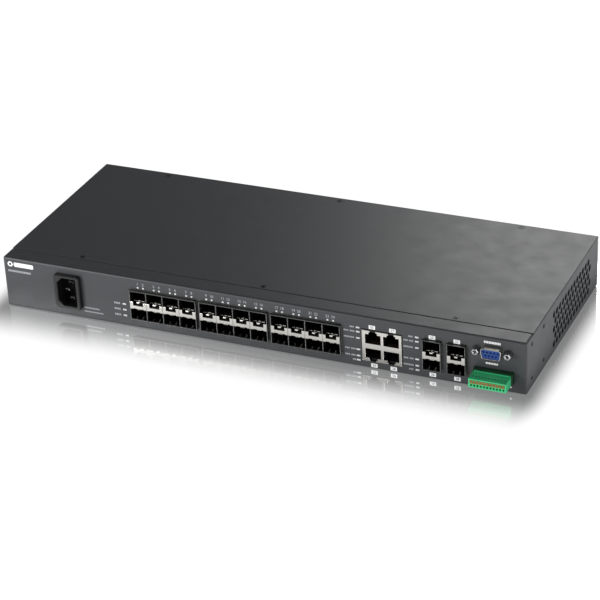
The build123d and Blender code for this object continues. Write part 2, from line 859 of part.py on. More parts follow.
def fan_stators():
    """The wound core on each frame's bearing tube."""
    return [rod_x(y, fan_z, 7.6, fan_inner_x + 4.0, fan_inner_x + 11.0)
            - rod_x(y, fan_z, 3.4, fan_inner_x + 3.0, fan_inner_x + 12.0) for y in fan_y]


def fan_rotor(y):
    """A hub cup on its shaft, with pitched blades."""
    x0 = fan_inner_x + 2.6
    x1 = fan_outer_x - 1.0
    hub = rod_x(y, fan_z, fan_hub_r, x0, x1) - rod_x(y, fan_z, fan_hub_r - 1.6, x0 - 1, x1 - 1.8)
    shaft = rod_x(y, fan_z, fan_shaft_r, fan_inner_x + 2.4, x1 - 1.0)
    rotor = hub + shaft
    middle = (x0 + x1) / 2
    ring = rod_x(y, fan_z, fan_rotor_r, x0 + 0.6, x1 - 0.6) - rod_x(y, fan_z, fan_hub_r - 0.8, x0, x1)
    blade_plate = Rot(0, 0, 40) * Box(19.0, 1.0, fan_rotor_r - fan_hub_r + 3)
    blade = Pos(0, 0, (fan_hub_r + fan_rotor_r) / 2) * blade_plate
    for number in range(fan_blades):
        placed = Pos(middle, y, fan_z) * Rot(360 / fan_blades * number, 0, 0) * blade
        rotor += placed & ring
    return rotor


def fan_bracket():
    """The folded bracket that holds both fans to the floor."""
    x0 = fan_inner_x - bracket_thick
    y0 = fan_y[0] - fan_side / 2
    y1 = fan_y[1] + fan_side / 2
    plate = block(x0, fan_inner_x, y0, y1, sheet, fan_z + fan_side / 2)
    foot = block(x0 - 6.0, fan_inner_x, y0, y1, sheet, sheet + bracket_thick)
    holes = []
    for y in fan_y:
        holes.append(rod_x(y, fan_z, fan_bore_r - 0.4, x0 - 1, fan_inner_x + 1))
        for dy in (-0.5, 0.5):
            for dz in (-0.5, 0.5):
                holes.append(rod_x(y + dy * fan_hole_spacing, fan_z + dz * fan_hole_spacing, fan_screw_r,
                                   x0 - 1, fan_inner_x + 1))
    return plate + foot - holes


def fan_screws():
    """Screws from the bracket into each fan."""
    screws = []
    for y in fan_y:
        for dy in (-0.5, 0.5):
            for dz in (-0.5, 0.5):
                screw_y = y + dy * fan_hole_spacing
                screw_z = fan_z + dz * fan_hole_spacing
                x0 = fan_inner_x - bracket_thick
                screws.append(rod_x(screw_y, screw_z, 2.6, x0 - 1.8, x0)
                              + rod_x(screw_y, screw_z, fan_screw_r - 0.05, x0 - 0.5, fan_inner_x + 9.0))
    return screws


def led_light_pipes():
    """Clear pipes that bring the board's lights to the panel."""
    pipes = []
    for x, z, wide, high in indicator_places():
        half_wide = wide / 2 - 0.04
        half_high = high / 2 - 0.04
        sides = x - half_wide, x + half_wide
        pipes.append(block(*sides, front - 0.15, front + 5.0, z - half_high, z + half_high))
    return pipes


# ---- write every sub-part ----
save("base_chassis", base_chassis())
save("top_cover", top_cover())
save("cover_screws", *cover_screws())
save("ground_screw", *ground_screw())
save("main_board", main_board())
save("board_standoffs", *board_standoffs())
save("board_screws", *board_screws())
save("switch_chip", chip(switch_chip_x, switch_chip_y, switch_chip_side, switch_chip_high))
save("switch_heatsink", switch_heatsink())
save("phy_chips", *[chip(x, y, phy_side, phy_high) for x, y in phy_places])
save("phy_heatsinks", *phy_heatsinks())
save("memory_chips", *memory_chips())
save("board_capacitors", *board_capacitors())
save("power_inductors", *power_inductors())
for letter, place in zip("abc", cage_left):
    save(f"sfp_cage_{letter}", *cage(place, cage_columns))
for letter, place in zip("ab", combo_left):
    save(f"combo_cage_{letter}", *cage(place, 1))
save("sfp_connectors", *sfp_connectors())
save("cage_gaskets", *cage_gaskets())
save("rj45_shield", rj45_shield())
save("rj45_housing", rj45_housing())
save("rj45_contacts", *rj45_contacts())
save("dsub_shell", dsub_shell())
save("dsub_insulator", dsub_insulator())
save("dsub_jackscrews", *dsub_jackscrews())
save("console_board", console_board())
save("console_ribbon", console_ribbon())
save("terminal_header", terminal_header())
save("terminal_pins", *terminal_pins())
save("terminal_plug", terminal_plug())
for way in range(ways):
    save(f"release_button_{way + 1:02d}", release_button(way))
save("inlet_housing", inlet_housing())
save("inlet_blades", *inlet_blades())
save("mains_wires", *mains_wires())
save("power_board", power_board())
save("power_transformer", *power_transformer())
save("power_capacitors", *power_capacitors())
save("power_heatsinks", *power_heatsinks())
save("power_choke", power_choke())
save("power_insulator", power_insulator())
save("power_harness", *power_harness())
save("fan_frames", *fan_frames())
save("fan_stators", *fan_stators())
save("fan_rotor_front", fan_rotor(fan_y[0]))
save("fan_rotor_rear", fan_rotor(fan_y[1]))
save("fan_bracket", fan_bracket())
save("fan_screws", *fan_screws())
save("led_light_pipes", *led_light_pipes())
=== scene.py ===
"""Looks of a 1U rackmount network switch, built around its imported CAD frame.

Lengths are in millimetres until a piece is finished, and then turn to metres. +Z is up, the front
panel faces -Y and +X runs to the right of someone who looks at it.
"""
import json
import logging
import math
from dataclasses import dataclass, field
from enum import Enum
from typing import Iterable, Optional, Sequence

import bmesh
import bpy
from mathutils import Matrix, Vector
from mathutils.geometry import delaunay_2d_cdt

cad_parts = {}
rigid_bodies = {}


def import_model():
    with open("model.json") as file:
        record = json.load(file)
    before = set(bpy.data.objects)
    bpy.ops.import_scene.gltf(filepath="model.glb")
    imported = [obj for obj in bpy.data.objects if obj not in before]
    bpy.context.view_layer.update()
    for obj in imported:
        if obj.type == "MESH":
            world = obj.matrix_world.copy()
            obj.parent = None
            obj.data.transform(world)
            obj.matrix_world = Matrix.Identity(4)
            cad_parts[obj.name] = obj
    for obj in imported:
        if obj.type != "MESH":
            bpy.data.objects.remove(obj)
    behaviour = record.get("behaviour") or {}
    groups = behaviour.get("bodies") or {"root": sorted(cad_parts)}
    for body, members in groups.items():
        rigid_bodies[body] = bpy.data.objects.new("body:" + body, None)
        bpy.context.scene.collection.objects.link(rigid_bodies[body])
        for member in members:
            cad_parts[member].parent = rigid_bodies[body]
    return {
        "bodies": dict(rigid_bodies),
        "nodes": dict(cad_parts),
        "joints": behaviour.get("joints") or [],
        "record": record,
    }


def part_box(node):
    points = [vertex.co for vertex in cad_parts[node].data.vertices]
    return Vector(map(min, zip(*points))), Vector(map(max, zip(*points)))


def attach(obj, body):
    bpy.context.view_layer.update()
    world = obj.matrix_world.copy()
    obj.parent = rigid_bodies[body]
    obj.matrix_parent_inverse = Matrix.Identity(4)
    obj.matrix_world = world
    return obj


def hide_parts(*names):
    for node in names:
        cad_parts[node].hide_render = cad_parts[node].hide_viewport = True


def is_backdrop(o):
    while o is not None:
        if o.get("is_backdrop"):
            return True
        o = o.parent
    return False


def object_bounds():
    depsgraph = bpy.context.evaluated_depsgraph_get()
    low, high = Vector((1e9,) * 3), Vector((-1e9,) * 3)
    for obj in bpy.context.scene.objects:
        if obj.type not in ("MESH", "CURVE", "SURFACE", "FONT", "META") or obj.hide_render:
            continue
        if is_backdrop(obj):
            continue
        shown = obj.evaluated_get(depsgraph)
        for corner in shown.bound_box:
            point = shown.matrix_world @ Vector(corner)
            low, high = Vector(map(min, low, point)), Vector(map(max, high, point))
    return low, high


log = logging.getLogger("switch")

MM = 0.001

Point = tuple[float, float]
Loop = list[Point]
# Left, right, bottom and top of a print, with its places along the panel from its left end.
Run = tuple[float, float, float, float]


# ---------------------------------------------------------------- the frame
class Frame:
    """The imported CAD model, read in millimetres."""

    def __init__(self) -> None:
        """Load the model and keep its box."""
        self.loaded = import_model()
        self.cad_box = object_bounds()

    def box(self, node: str) -> tuple[Vector, Vector]:
        """Lowest and highest corner of a CAD node.

        Args:
            node: the node's name.

        Returns:
            Both corners, in millimetres.
        """
        low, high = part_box(node)
        return Vector(low) / MM, Vector(high) / MM

    def solids(self, node: str) -> list[tuple[Vector, Vector]]:
        """Box of each separate solid of a CAD node.

        Args:
            node: the node's name.

        Returns:
            A pair of corners for each solid, in millimetres, from left to right and from the bottom up.
        """
        mesh = bmesh.new()
        mesh.from_mesh(self.loaded["nodes"][node].data)
        bmesh.ops.remove_doubles(mesh, verts=mesh.verts, dist=1e-6)
        unseen = set(mesh.verts)
        boxes = []
        while unseen:
            stack = [unseen.pop()]
            low, high = stack[0].co.copy(), stack[0].co.copy()
            while stack:
                vertex = stack.pop()
                low = Vector(map(min, low, vertex.co))
                high = Vector(map(max, high, vertex.co))
                for edge in vertex.link_edges:
                    other = edge.other_vert(vertex)
                    if other in unseen:
                        unseen.remove(other)
                        stack.append(other)
            boxes.append((low / MM, high / MM))
        mesh.free()
        return sorted(boxes, key=lambda pair: (round(pair[0].x, 2), round(pair[0].z, 2), round(pair[0].y, 2)))


# ---------------------------------------------------------------- materials
def linear(code: str) -> tuple[float, float, float, float]:
    """Turn an sRGB hex colour into a linear one.

    Args:
        code: six hex digits.

    Returns:
        Red, green, blue and alpha.
    """
    parts = [int(code[start:start + 2], 16) / 255 for start in (0, 2, 4)]
    red, green, blue = (part / 12.92 if part <= 0.04045 else ((part + 0.055) / 1.055) ** 2.4
                        for part in parts)
    return red, green, blue, 1.0


def add_node(tree: bpy.types.NodeTree, kind: str, settings: Optional[dict] = None,
             **links: object) -> bpy.types.Node:
    """Add one node, set it and link it.

    Args:
        tree: the node tree.
        kind: the node's type name.
        settings: attributes by name, and input values by socket number or name.
        links: output sockets that feed inputs, by input name with underscores for spaces.

    Returns:
        The new node.
    """
    node = tree.nodes.new(kind)
    for key, value in (settings or {}).items():
        if isinstance(key, str) and hasattr(node, key):
            setattr(node, key, value)
        else:
            node.inputs[key].default_value = value
    for key, socket in links.items():
        name = key.replace("_", " ")
        target = node.inputs[name] if name in node.inputs else node.inputs[int(key[1:])]
        tree.links.new(socket, target)
    return node


def per_metre(size_mm: float) -> float:
    """Texture scale whose cells are about so many millimetres across."""
    return 1.0 / (size_mm * MM)


class Surface(Enum):
    """How a surface was made, which sets its small relief."""

    POWDER = "sprayed powder, baked: a fine orange peel"
    PLATED = "plated sheet: faint rolling lines and blotches"
    MOULDED = "moulded plastic: a fine spark-eroded grain"
    BRUSHED = "drawn or ground metal: lines along one way"
    INK = "screen-printed ink: thin and slightly uneven"
    BOARD = "circuit board: traces under solder mask"
    FILM = "smooth film or sleeve"


@dataclass(frozen=True)
class Finish:
    """One finish, from the real material and how its surface was made."""

    name: str
    colour: str
    surface: Surface
    roughness: float
    slot: str
    metallic: float = 0.0
    ior: float = 1.5
    grain_mm: float = 0.6
    relief_mm: float = 0.01
    drift: float = 0.12
    second: Optional[str] = None
    glow: float = 0.0
    see_through: float = 0.0

    def material(self) -> bpy.types.Material:
        """Make the material, or find it if it is there already.

        Returns:
            The material.
        """
        made = bpy.data.materials.get(self.name)
        if made:
            return made
        made = bpy.data.materials.new(self.name)
        made.use_nodes = True
        tree = made.node_tree
        tree.nodes.clear()
        out = add_node(tree, "ShaderNodeOutputMaterial")
        shader = add_node(tree, "ShaderNodeBsdfPrincipled", {
            "Metallic": self.metallic, "Transmission Weight": self.see_through})
        if not self.metallic:
            shader.inputs["IOR"].default_value = self.ior
        if self.glow:
            shader.inputs["Emission Color"].default_value = linear(self.colour)
            shader.inputs["Emission Strength"].default_value = self.glow
        tree.links.new(shader.outputs[0], out.inputs[0])
        place = add_node(tree, "ShaderNodeTexCoord").outputs["Object"]
        if self.surface in (Surface.PLATED, Surface.BRUSHED):
            # Rolling and drawing leave marks many times longer than they are wide.
            place = add_node(tree, "ShaderNodeMapping", {"Scale": (0.06, 0.06, 1.0)}, Vector=place).outputs[0]
        grain = add_node(tree, "ShaderNodeTexNoise", {
            "Scale": per_metre(self.grain_mm), "Detail": 3.0, "Roughness": 0.55}, Vector=place).outputs[0]
        cloud = add_node(tree, "ShaderNodeTexNoise", {
            "Scale": per_metre(self.grain_mm * 22), "Detail": 2.0}, Vector=place).outputs[0]
        self.add_colour(tree, shader, grain, cloud)
        rough = add_node(tree, "ShaderNodeMapRange", {
            3: max(self.roughness * 0.86, 0.02), 4: min(self.roughness * 1.14, 1.0)}, Value=cloud).outputs[0]
        tree.links.new(rough, shader.inputs["Roughness"])
        bump = add_node(tree, "ShaderNodeBump", {
            "Strength": 1.0, "Distance": self.relief_mm * MM}, Height=grain)
        tree.links.new(bump.outputs[0], shader.inputs["Normal"])
        return made

    def add_colour(self, tree: bpy.types.NodeTree, shader: bpy.types.Node,
                   grain: bpy.types.NodeSocket, cloud: bpy.types.NodeSocket) -> None:
        """Give the shader its colour, which drifts a little over the surface.

        Args:
            tree: the node tree.
            shader: the surface shader.
            grain: fine noise.
            cloud: coarse noise.
        """
        base = linear(self.colour)
        other = (linear(self.second) if self.second
                 else tuple(part * (1 - self.drift) for part in base[:3]) + (1.0,))
        source = grain if self.second else cloud
        ramp = add_node(tree, "ShaderNodeValToRGB", {}, Fac=source)
        ramp.color_ramp.elements[0].position = 0.42
        ramp.color_ramp.elements[1].position = 0.6
        ramp.color_ramp.elements[0].color = other
        ramp.color_ramp.elements[1].color = base
        tree.links.new(ramp.outputs[0], shader.inputs["Base Color"])


# Polyester powder on mild steel: matt charcoal with a fine texture that breaks up highlights.
POWDER_COAT = Finish("powder_coat_charcoal", "3b3d40", Surface.POWDER, 0.46, "powder_coated_steel",
                     grain_mm=0.7, relief_mm=0.02, drift=0.03)
# Steel blackened in a hot salt bath: nearly the coat's own tone, with a soft sheen.
# The same dark finish dresses the disc behind each console jackscrew, which is painted shadow.
BLACK_SCREW_AND_SHADOW = Finish("black_oxide_steel_and_painted_shadow", "303235", Surface.BRUSHED, 0.45, "black_screw", metallic=0.3,
                     grain_mm=0.3)
# Tin or nickel over thin spring steel: bright and sharp, with rolling marks.
CAGE_PLATE = Finish("tin_plated_steel", "d8d6d0", Surface.PLATED, 0.24, "nickel_plate", metallic=1.0,
                    grain_mm=0.5, relief_mm=0.004, drift=0.12)
# The same sheet inside the tunnel, darkened as painted shade deep inside it.
CAGE_PAINTED_SHADE = Finish("tin_plate_painted_shade", "232323", Surface.PLATED, 0.55, "nickel_plate", metallic=1.0,
                     grain_mm=0.5, relief_mm=0.004)
# Cut edges of the sheet, where the plating has not run.
CAGE_EDGE = Finish("sheared_tin_plate", "8b8c8c", Surface.PLATED, 0.45, "nickel_plate", metallic=1.0,
                   grain_mm=0.4, relief_mm=0.004)
GASKET_METAL = Finish("beryllium_copper_fingers", "6d6c68", Surface.PLATED, 0.4, "gasket_metal", metallic=1.0,
                      grain_mm=0.4, relief_mm=0.004)
ZINC = Finish("zinc_plated_steel", "b9bbbd", Surface.BRUSHED, 0.3, "zinc_steel", metallic=1.0, grain_mm=0.4)
BLACK_PLASTIC = Finish("black_pbt", "141416", Surface.MOULDED, 0.42, "black_plastic", grain_mm=0.35,
                       relief_mm=0.006)
BLUE_PLASTIC = Finish("blue_pbt", "003882", Surface.MOULDED, 0.5, "blue_plastic", grain_mm=0.35,
                      relief_mm=0.005)
PLUG_GREEN = Finish("green_polyamide", "40c884", Surface.MOULDED, 0.34, "green_plastic", grain_mm=0.35,
                    relief_mm=0.006, drift=0.1)
# Green polyamide darkened as painted shade: on the header behind the plug and in the plug's test holes.
GREEN_PAINTED_SHADE = Finish("green_polyamide_painted_shade", "0c3a20", Surface.MOULDED, 0.36, "dark_green_plastic",
                      grain_mm=0.35,
                      relief_mm=0.006)
BUTTON_ORANGE = Finish("orange_polyamide", "98793e", Surface.MOULDED, 0.36, "orange_plastic", grain_mm=0.3,
                       relief_mm=0.004)
GOLD = Finish("gold_flash", "d9a441", Surface.PLATED, 0.22, "gold_contact", metallic=1.0, grain_mm=0.3,
              relief_mm=0.002)
TIN = Finish("bright_tin", "c9c9c4", Surface.BRUSHED, 0.25, "tin_contact", metallic=1.0, grain_mm=0.4,
             relief_mm=0.003)
WHITE_INK = Finish("white_screen_ink", "f7f8f8", Surface.INK, 0.5, "powder_coated_steel", grain_mm=0.2,
                   relief_mm=0.004, drift=0.08)
GREY_INK = Finish("grey_screen_ink", "a4a7ab", Surface.INK, 0.5, "powder_coated_steel", grain_mm=0.2,
                  relief_mm=0.004, drift=0.1)
BLACK_INK = Finish("black_screen_ink", "5a5c60", Surface.INK, 0.5, "powder_coated_steel", grain_mm=0.2,
                   relief_mm=0.004)
LIGHT_PIPE = Finish("frosted_polycarbonate", "e2e4e4", Surface.FILM, 0.3, "light_pipe", grain_mm=0.4,
                    relief_mm=0.003)
BOARD_MASK = Finish("solder_mask", "0f4a28", Surface.BOARD, 0.34, "circuit_board", grain_mm=1.6,
                    relief_mm=0.02,
                    second="1a6a3a")
CHIP_EPOXY = Finish("moulded_epoxy", "1b1b1d", Surface.MOULDED, 0.5, "chip_plastic", grain_mm=0.3)
ALUMINIUM = Finish("anodised_aluminium", "b4b7ba", Surface.BRUSHED, 0.34, "bare_aluminium", metallic=1.0,
                   grain_mm=0.5)
SLEEVE = Finish("heat_shrink_sleeve", "1d2436", Surface.FILM, 0.28, "capacitor_can", grain_mm=1.0,
                relief_mm=0.004)
FERRITE = Finish("sintered_ferrite", "222326", Surface.MOULDED, 0.6, "ferrite", grain_mm=0.5, relief_mm=0.02)
RIBBON = Finish("grey_ribbon_cable", "8b8d90", Surface.BRUSHED, 0.5, "grey_ribbon", grain_mm=1.3,
                relief_mm=0.1)
WIRE = Finish("pvc_insulation", "1a1a1c", Surface.FILM, 0.4, "wire_insulation", grain_mm=1.0, relief_mm=0.004)
INSULATOR = Finish("polycarbonate_film", "a9a99c", Surface.FILM, 0.3, "insulator_sheet", grain_mm=2.0,
                   relief_mm=0.006)
COPPER = Finish("enamelled_copper", "a85a28", Surface.BRUSHED, 0.3, "copper_winding", metallic=1.0,
                grain_mm=0.3,
                relief_mm=0.02)
FAN_PLASTIC = Finish("fan_pbt", "17171a", Surface.MOULDED, 0.44, "fan_plastic", grain_mm=0.4, relief_mm=0.006)
CARRIED_FINISHES = (ZINC, BLACK_PLASTIC, BOARD_MASK, CHIP_EPOXY, ALUMINIUM, SLEEVE, FERRITE, RIBBON, WIRE,
                    INSULATOR,
                    COPPER, FAN_PLASTIC, TIN, GOLD, CAGE_PLATE, GASKET_METAL, BLUE_PLASTIC, PLUG_GREEN,
                    GREEN_PAINTED_SHADE,
                    BUTTON_ORANGE, LIGHT_PIPE, BLACK_SCREW_AND_SHADOW, POWDER_COAT)


# ---------------------------------------------------------------- flat shapes
def rectangle(x0: float, x1: float, y0: float, y1: float, corner: float = 0.0, steps: int = 3) -> Loop:
    """A rectangle with round corners, counter-clockwise.

    Args:
        x0: low side.
        x1: high side.
        y0: bottom.
        y1: top.
        corner: corner radius, or 0 for sharp ones.
        steps: segments in each corner.

    Returns:
        Its points.
    """
    return round_off([(x0, y0), (x1, y0), (x1, y1), (x0, y1)], corner, steps)


def round_off(points: Loop, radius: float, steps: int = 3) -> Loop:
    """Replace each corner of a loop by an arc.

    Args:
        points: the loop.
        radius: the arcs' radius.
        steps: segments in each arc.

    Returns:
        The rounded loop.
    """
    if radius <= 0:
        return list(points)
    rounded: Loop = []
    for number, point in enumerate(points):
        corner = Vector(point)
        back = (Vector(points[number - 1]) - corner).normalized()
        ahead = (Vector(points[(number + 1) % len(points)]) - corner).normalized()
        half = back.angle(ahead) / 2
        reach = radius / math.tan(half)
        centre = corner + (back + ahead).normalized() * radius / math.sin(half)
        start = corner + back * reach - centre
        sweep = start.angle_signed(corner + ahead * reach - centre)
        for step in range(steps + 1):
            spot = centre + Matrix.Rotation(-sweep * step / steps, 2) @ start
            rounded.append((spot.x, spot.y))
    return rounded


def circle(x: float, y: float, radius: float, sides: int = 20, turn: float = 0.0) -> Loop:
    """A circle or regular polygon, counter-clockwise."""
    angles = [turn + math.tau * side / sides for side in range(sides)]
    return [(x + radius * math.cos(angle), y + radius * math.sin(angle)) for angle in angles]


def grow(loop: Loop, margin: float) -> Loop:
    """Move each side of a counter-clockwise loop outwards.

    Args:
        loop: the loop.
        margin: how far, negative for inwards.

    Returns:
        The moved loop, with as many points.
    """
    moved: Loop = []
    for number, point in enumerate(loop):
        here = Vector(point)
        before = (here - Vector(loop[number - 1])).normalized()
        after = (Vector(loop[(number + 1) % len(loop)]) - here).normalized()
        normal = Vector((before.y + after.y, -before.x - after.x)).normalized()
        stretch = max(normal.dot(Vector((after.y, -after.x))), 0.3)
        spot = here + normal * (margin / stretch)
        moved.append((spot.x, spot.y))
    return moved


def inside(loop: Loop, x: float, y: float) -> bool:
    """Whether a point lies inside a loop."""
    crossings = 0
    for (x0, y0), (x1, y1) in zip(loop, loop[1:] + loop[:1]):
        if (y0 > y) != (y1 > y) and x < x0 + (y - y0) / (y1 - y0) * (x1 - x0):
            crossings += 1
    return crossings % 2 == 1


@dataclass(frozen=True)
class Hole:
    """A hole in a plate, with the chamfer at its mouth."""

    loop: Loop
    chamfer: float = 0.12


@dataclass(frozen=True)
class Place:
    """A flat place in space: u and v lie in it and w points out of it."""

    origin: tuple[float, float, float]
    u: tuple[int, int, int]
    v: tuple[int, int, int]

    def at(self, u: float, v: float, w: float = 0.0) -> Vector:
        """The point at u, v and w."""
        along, up = Vector(self.u), Vector(self.v)
        return Vector(self.origin) + along * u + up * v + along.cross(up) * w


def facing_front(y: float) -> Place:
    """A place that faces -Y, with u along X and v up."""
    return Place((0, y, 0), (1, 0, 0), (0, 0, 1))


def facing_rear(y: float) -> Place:
    """A place that faces +Y, with u along -X and v up."""
    return Place((0, y, 0), (-1, 0, 0), (0, 0, 1))


def facing_right(x: float) -> Place:
    """A place that faces +X, with u along Y and v up."""
    return Place((x, 0, 0), (0, 1, 0), (0, 0, 1))


def facing_left(x: float) -> Place:
    """A place that faces -X, with u along -Y and v up."""
    return Place((x, 0, 0), (0, -1, 0), (0, 0, 1))


def facing_up(z: float) -> Place:
    """A place that faces +Z, with u along X and v along Y."""
    return Place((0, 0, z), (1, 0, 0), (0, 1, 0))


def facing_down(z: float) -> Place:
    """A place that faces -Z, with u along X and v along -Y."""
    return Place((0, 0, z), (1, 0, 0), (0, -1, 0))


# ---------------------------------------------------------------- solid shapes
class Builder:
    """Collects the faces of one piece, in millimetres."""

    def __init__(self, *finishes: Finish) -> None:
        """Start an empty piece with its finishes, the first one being the main one."""
        self.mesh = bmesh.new()
        self.finishes = finishes
        self.coat = 0

    def use(self, finish: Finish) -> None:
        """Dress the faces that follow in this finish."""
        self.coat = self.finishes.index(finish)

    def face(self, corners: Sequence[bmesh.types.BMVert], smooth: bool = True) -> None:
        """Add one face, unless it is degenerate or there already.

        Args:
            corners: its vertices.
            smooth: whether its shading runs on into its neighbours.
        """
        distinct = list(dict.fromkeys(corners))
        if len(distinct) < 3 or self.mesh.faces.get(distinct):
            return
        made = self.mesh.faces.new(distinct)
        made.material_index = self.coat
        made.smooth = smooth

    def skin(self, rings: Sequence[Sequence[bmesh.types.BMVert]], closed: bool = True) -> None:
        """Join rings of vertices with quads.

        Args:
            rings: rings with as many vertices each.
            closed: whether each ring closes on itself.
        """
        for ring, following in zip(rings, rings[1:]):
            count = len(ring)
            for number in range(count if closed else count - 1):
                after = (number + 1) % count
                self.face([ring[number], ring[after], following[after], following[number]])

    def plate(self, place: Place, outline: Loop, thick: float, holes: Iterable[Hole] = (),
              chamfer: float = 0.12, back_chamfer: float = 0.0) -> None:
        """Add a flat plate with holes, whose front lies in a place.

        Args:
            place: where its front is.
            outline: its outer loop, counter-clockwise in the place's u and v.
            thick: its thickness, away from the front.
            holes: its holes.
            chamfer: the broken edge round the front.
            back_chamfer: the same round the back.
        """
        holes = list(holes)
        loops = [outline] + [hole.loop for hole in holes]
        breaks = [-chamfer] + [hole.chamfer for hole in holes]
        front = [grow(loop, margin) if margin else loop for loop, margin in zip(loops, breaks)]
        points = [Vector(point) for loop in front for point in loop]
        starts = [0]
        for loop in loops:
            starts.append(starts[-1] + len(loop))
        rings = [list(range(starts[number], starts[number + 1])) for number in range(len(loops))]
        edges = [(ring[number - 1], ring[number]) for ring in rings for number in range(len(ring))]
        spots, _, faces, origins, _, _ = delaunay_2d_cdt(points, edges, [], 2, 1e-7)
        lookup = {number: source[0] for number, source in enumerate(origins) if source}

        def layer(shapes: Sequence[Loop], w: float) -> list[bmesh.types.BMVert]:
            """Add the points of some loops at one depth."""
            return [self.mesh.verts.new(place.at(u, v, w)) for loop in shapes for u, v in loop]

        top = layer(front, 0.0)
        back_loops = [grow(outline, -back_chamfer)] + loops[1:] if back_chamfer else loops
        bottom = layer(back_loops, -thick)
        for corners in faces:
            middle = sum((spots[number] for number in corners), Vector((0.0, 0.0))) / len(corners)
            filled = not any(inside(loop, middle.x, middle.y) for loop in front[1:])
            if filled and all(number in lookup for number in corners):
                self.face([top[lookup[number]] for number in corners], False)
                self.face([bottom[lookup[number]] for number in reversed(corners)], False)
        for number, margin in enumerate(breaks):
            piece = slice(starts[number], starts[number + 1])
            layers = [top[piece]]
            depth = min(abs(margin), thick)
            if 0 < depth < thick:
                layers.append([self.mesh.verts.new(place.at(u, v, -depth)) for u, v in loops[number]])
            if number == 0 and back_chamfer:
                layers.append([self.mesh.verts.new(place.at(u, v, back_chamfer - thick)) for u, v in outline])
            layers.append(bottom[piece])
            self.skin([ring if number else ring[::-1] for ring in layers])

    def block(self, low: Sequence[float], high: Sequence[float], edge: float = 0.15, steps: int = 1) -> None:
        """Add a box with broken edges.

        Args:
            low: its lowest corner.
            high: its highest corner.
            edge: how much each edge is broken.
            steps: segments across each edge.
        """
        made = bmesh.ops.create_cube(self.mesh, size=1.0)["verts"]
        size = Vector(high) - Vector(low)
        centre = (Vector(high) + Vector(low)) / 2
        for vertex in made:
            vertex.co = centre + Vector(part * length for part, length in zip(vertex.co, size))
        faces = {face for vertex in made for face in vertex.link_faces}
        for face in faces:
            face.material_index = self.coat
        if edge > 0:
            edges = {line for vertex in made for line in vertex.link_edges}
            bmesh.ops.bevel(self.mesh, geom=list(edges), offset=min(edge, min(size) * 0.45), segments=steps,
                            affect="EDGES", profile=0.5, material=self.coat)

    def lathe(self, origin: Vector, axis: Vector, profile: Sequence[Point], sides: int = 24) -> None:
        """Turn a profile about an axis.

        Args:
            origin: where the axis starts.
            axis: its unit direction.
            profile: distances along the axis and radii, from one end to the other.
            sides: segments round the axis.
        """
        side = axis.orthogonal().normalized()
        other = axis.cross(side)
        rings = []
        for along, radius in profile:
            middle = origin + axis * along
            if radius <= 0:
                rings.append([self.mesh.verts.new(middle)] * sides)
                continue
            angles = [math.tau * number / sides for number in range(sides)]
            rings.append([self.mesh.verts.new(
                middle + (side * math.cos(angle) + other * math.sin(angle)) * radius) for angle in angles])
        self.skin(rings)

    def sweep(self, path: Sequence[Vector], wide: float, thick: float, across: Vector) -> None:
        """Run a flat strip along a path.

        Args:
            path: its middle line.
            wide: its width, along across.
            thick: its thickness.
            across: the unit direction of its width.
        """
        rings = []
        for number, point in enumerate(path):
            before = path[max(number - 1, 0)]
            after = path[min(number + 1, len(path) - 1)]
            normal = (after - before).cross(across).normalized() * thick / 2
            half = across * wide / 2
            corners = (half + normal, normal - half, -half - normal, half - normal)
            rings.append([self.mesh.verts.new(point + corner) for corner in corners])
        self.skin(rings)
        self.face(rings[0][::-1])
        self.face(rings[-1])

    def bend(self, start: Vector, end: Vector, first: Vector, second: Vector, radius: float,
             thick: float) -> None:
        """Add the round fold between two plates.

        Args:
            start: one end of the sharp edge that the fold replaces.
            end: its other end.
            first: outward direction of one plate.
            second: outward direction of the other.
            radius: outer radius.
            thick: the sheet's thickness.
        """
        inner = max(radius - thick, 0.05)
        steps = 6
        rings = []
        for end_point in (start, end):
            centre = end_point - (first + second) * radius
            arc = [first * math.cos(math.pi / 2 * step / steps)
                   + second * math.sin(math.pi / 2 * step / steps) for step in range(steps + 1)]
            spots = [centre + ray * radius for ray in arc] + [centre + ray * inner for ray in reversed(arc)]
            rings.append([self.mesh.verts.new(spot) for spot in spots])
        self.skin(rings)
        self.face(rings[0][::-1])
        self.face(rings[1])

    def ball_corner(self, corner: Vector, outward: Sequence[int], radius: float) -> None:
        """Add the round corner where three folds meet.

        Args:
            corner: the sharp corner that it replaces.
            outward: the sign of each axis, outwards.
            radius: the folds' outer radius.
        """
        signs = Vector(outward)
        centre = corner - signs * radius
        steps = 5
        rows = []
        for row in range(steps + 1):
            tilt = math.pi / 2 * row / steps
            line = []
            for column in range(steps + 1):
                turn = math.pi / 2 * column / steps
                ray = Vector((math.cos(tilt) * math.cos(turn), math.cos(tilt) * math.sin(turn),
                              math.sin(tilt)))
                line.append(self.mesh.verts.new(centre + Vector(a * b for a, b in zip(ray, signs)) * radius))
            rows.append(line)
        self.skin(rows, closed=False)
        middle = self.mesh.verts.new(centre)
        for rim in (rows[0], rows[-1], [line[0] for line in rows], [line[-1] for line in rows]):
            for one, two in zip(rim, rim[1:]):
                self.face([middle, one, two], False)
        patch = [vertex for line in rows for vertex in line]
        bmesh.ops.remove_doubles(self.mesh, verts=patch, dist=0.0005)

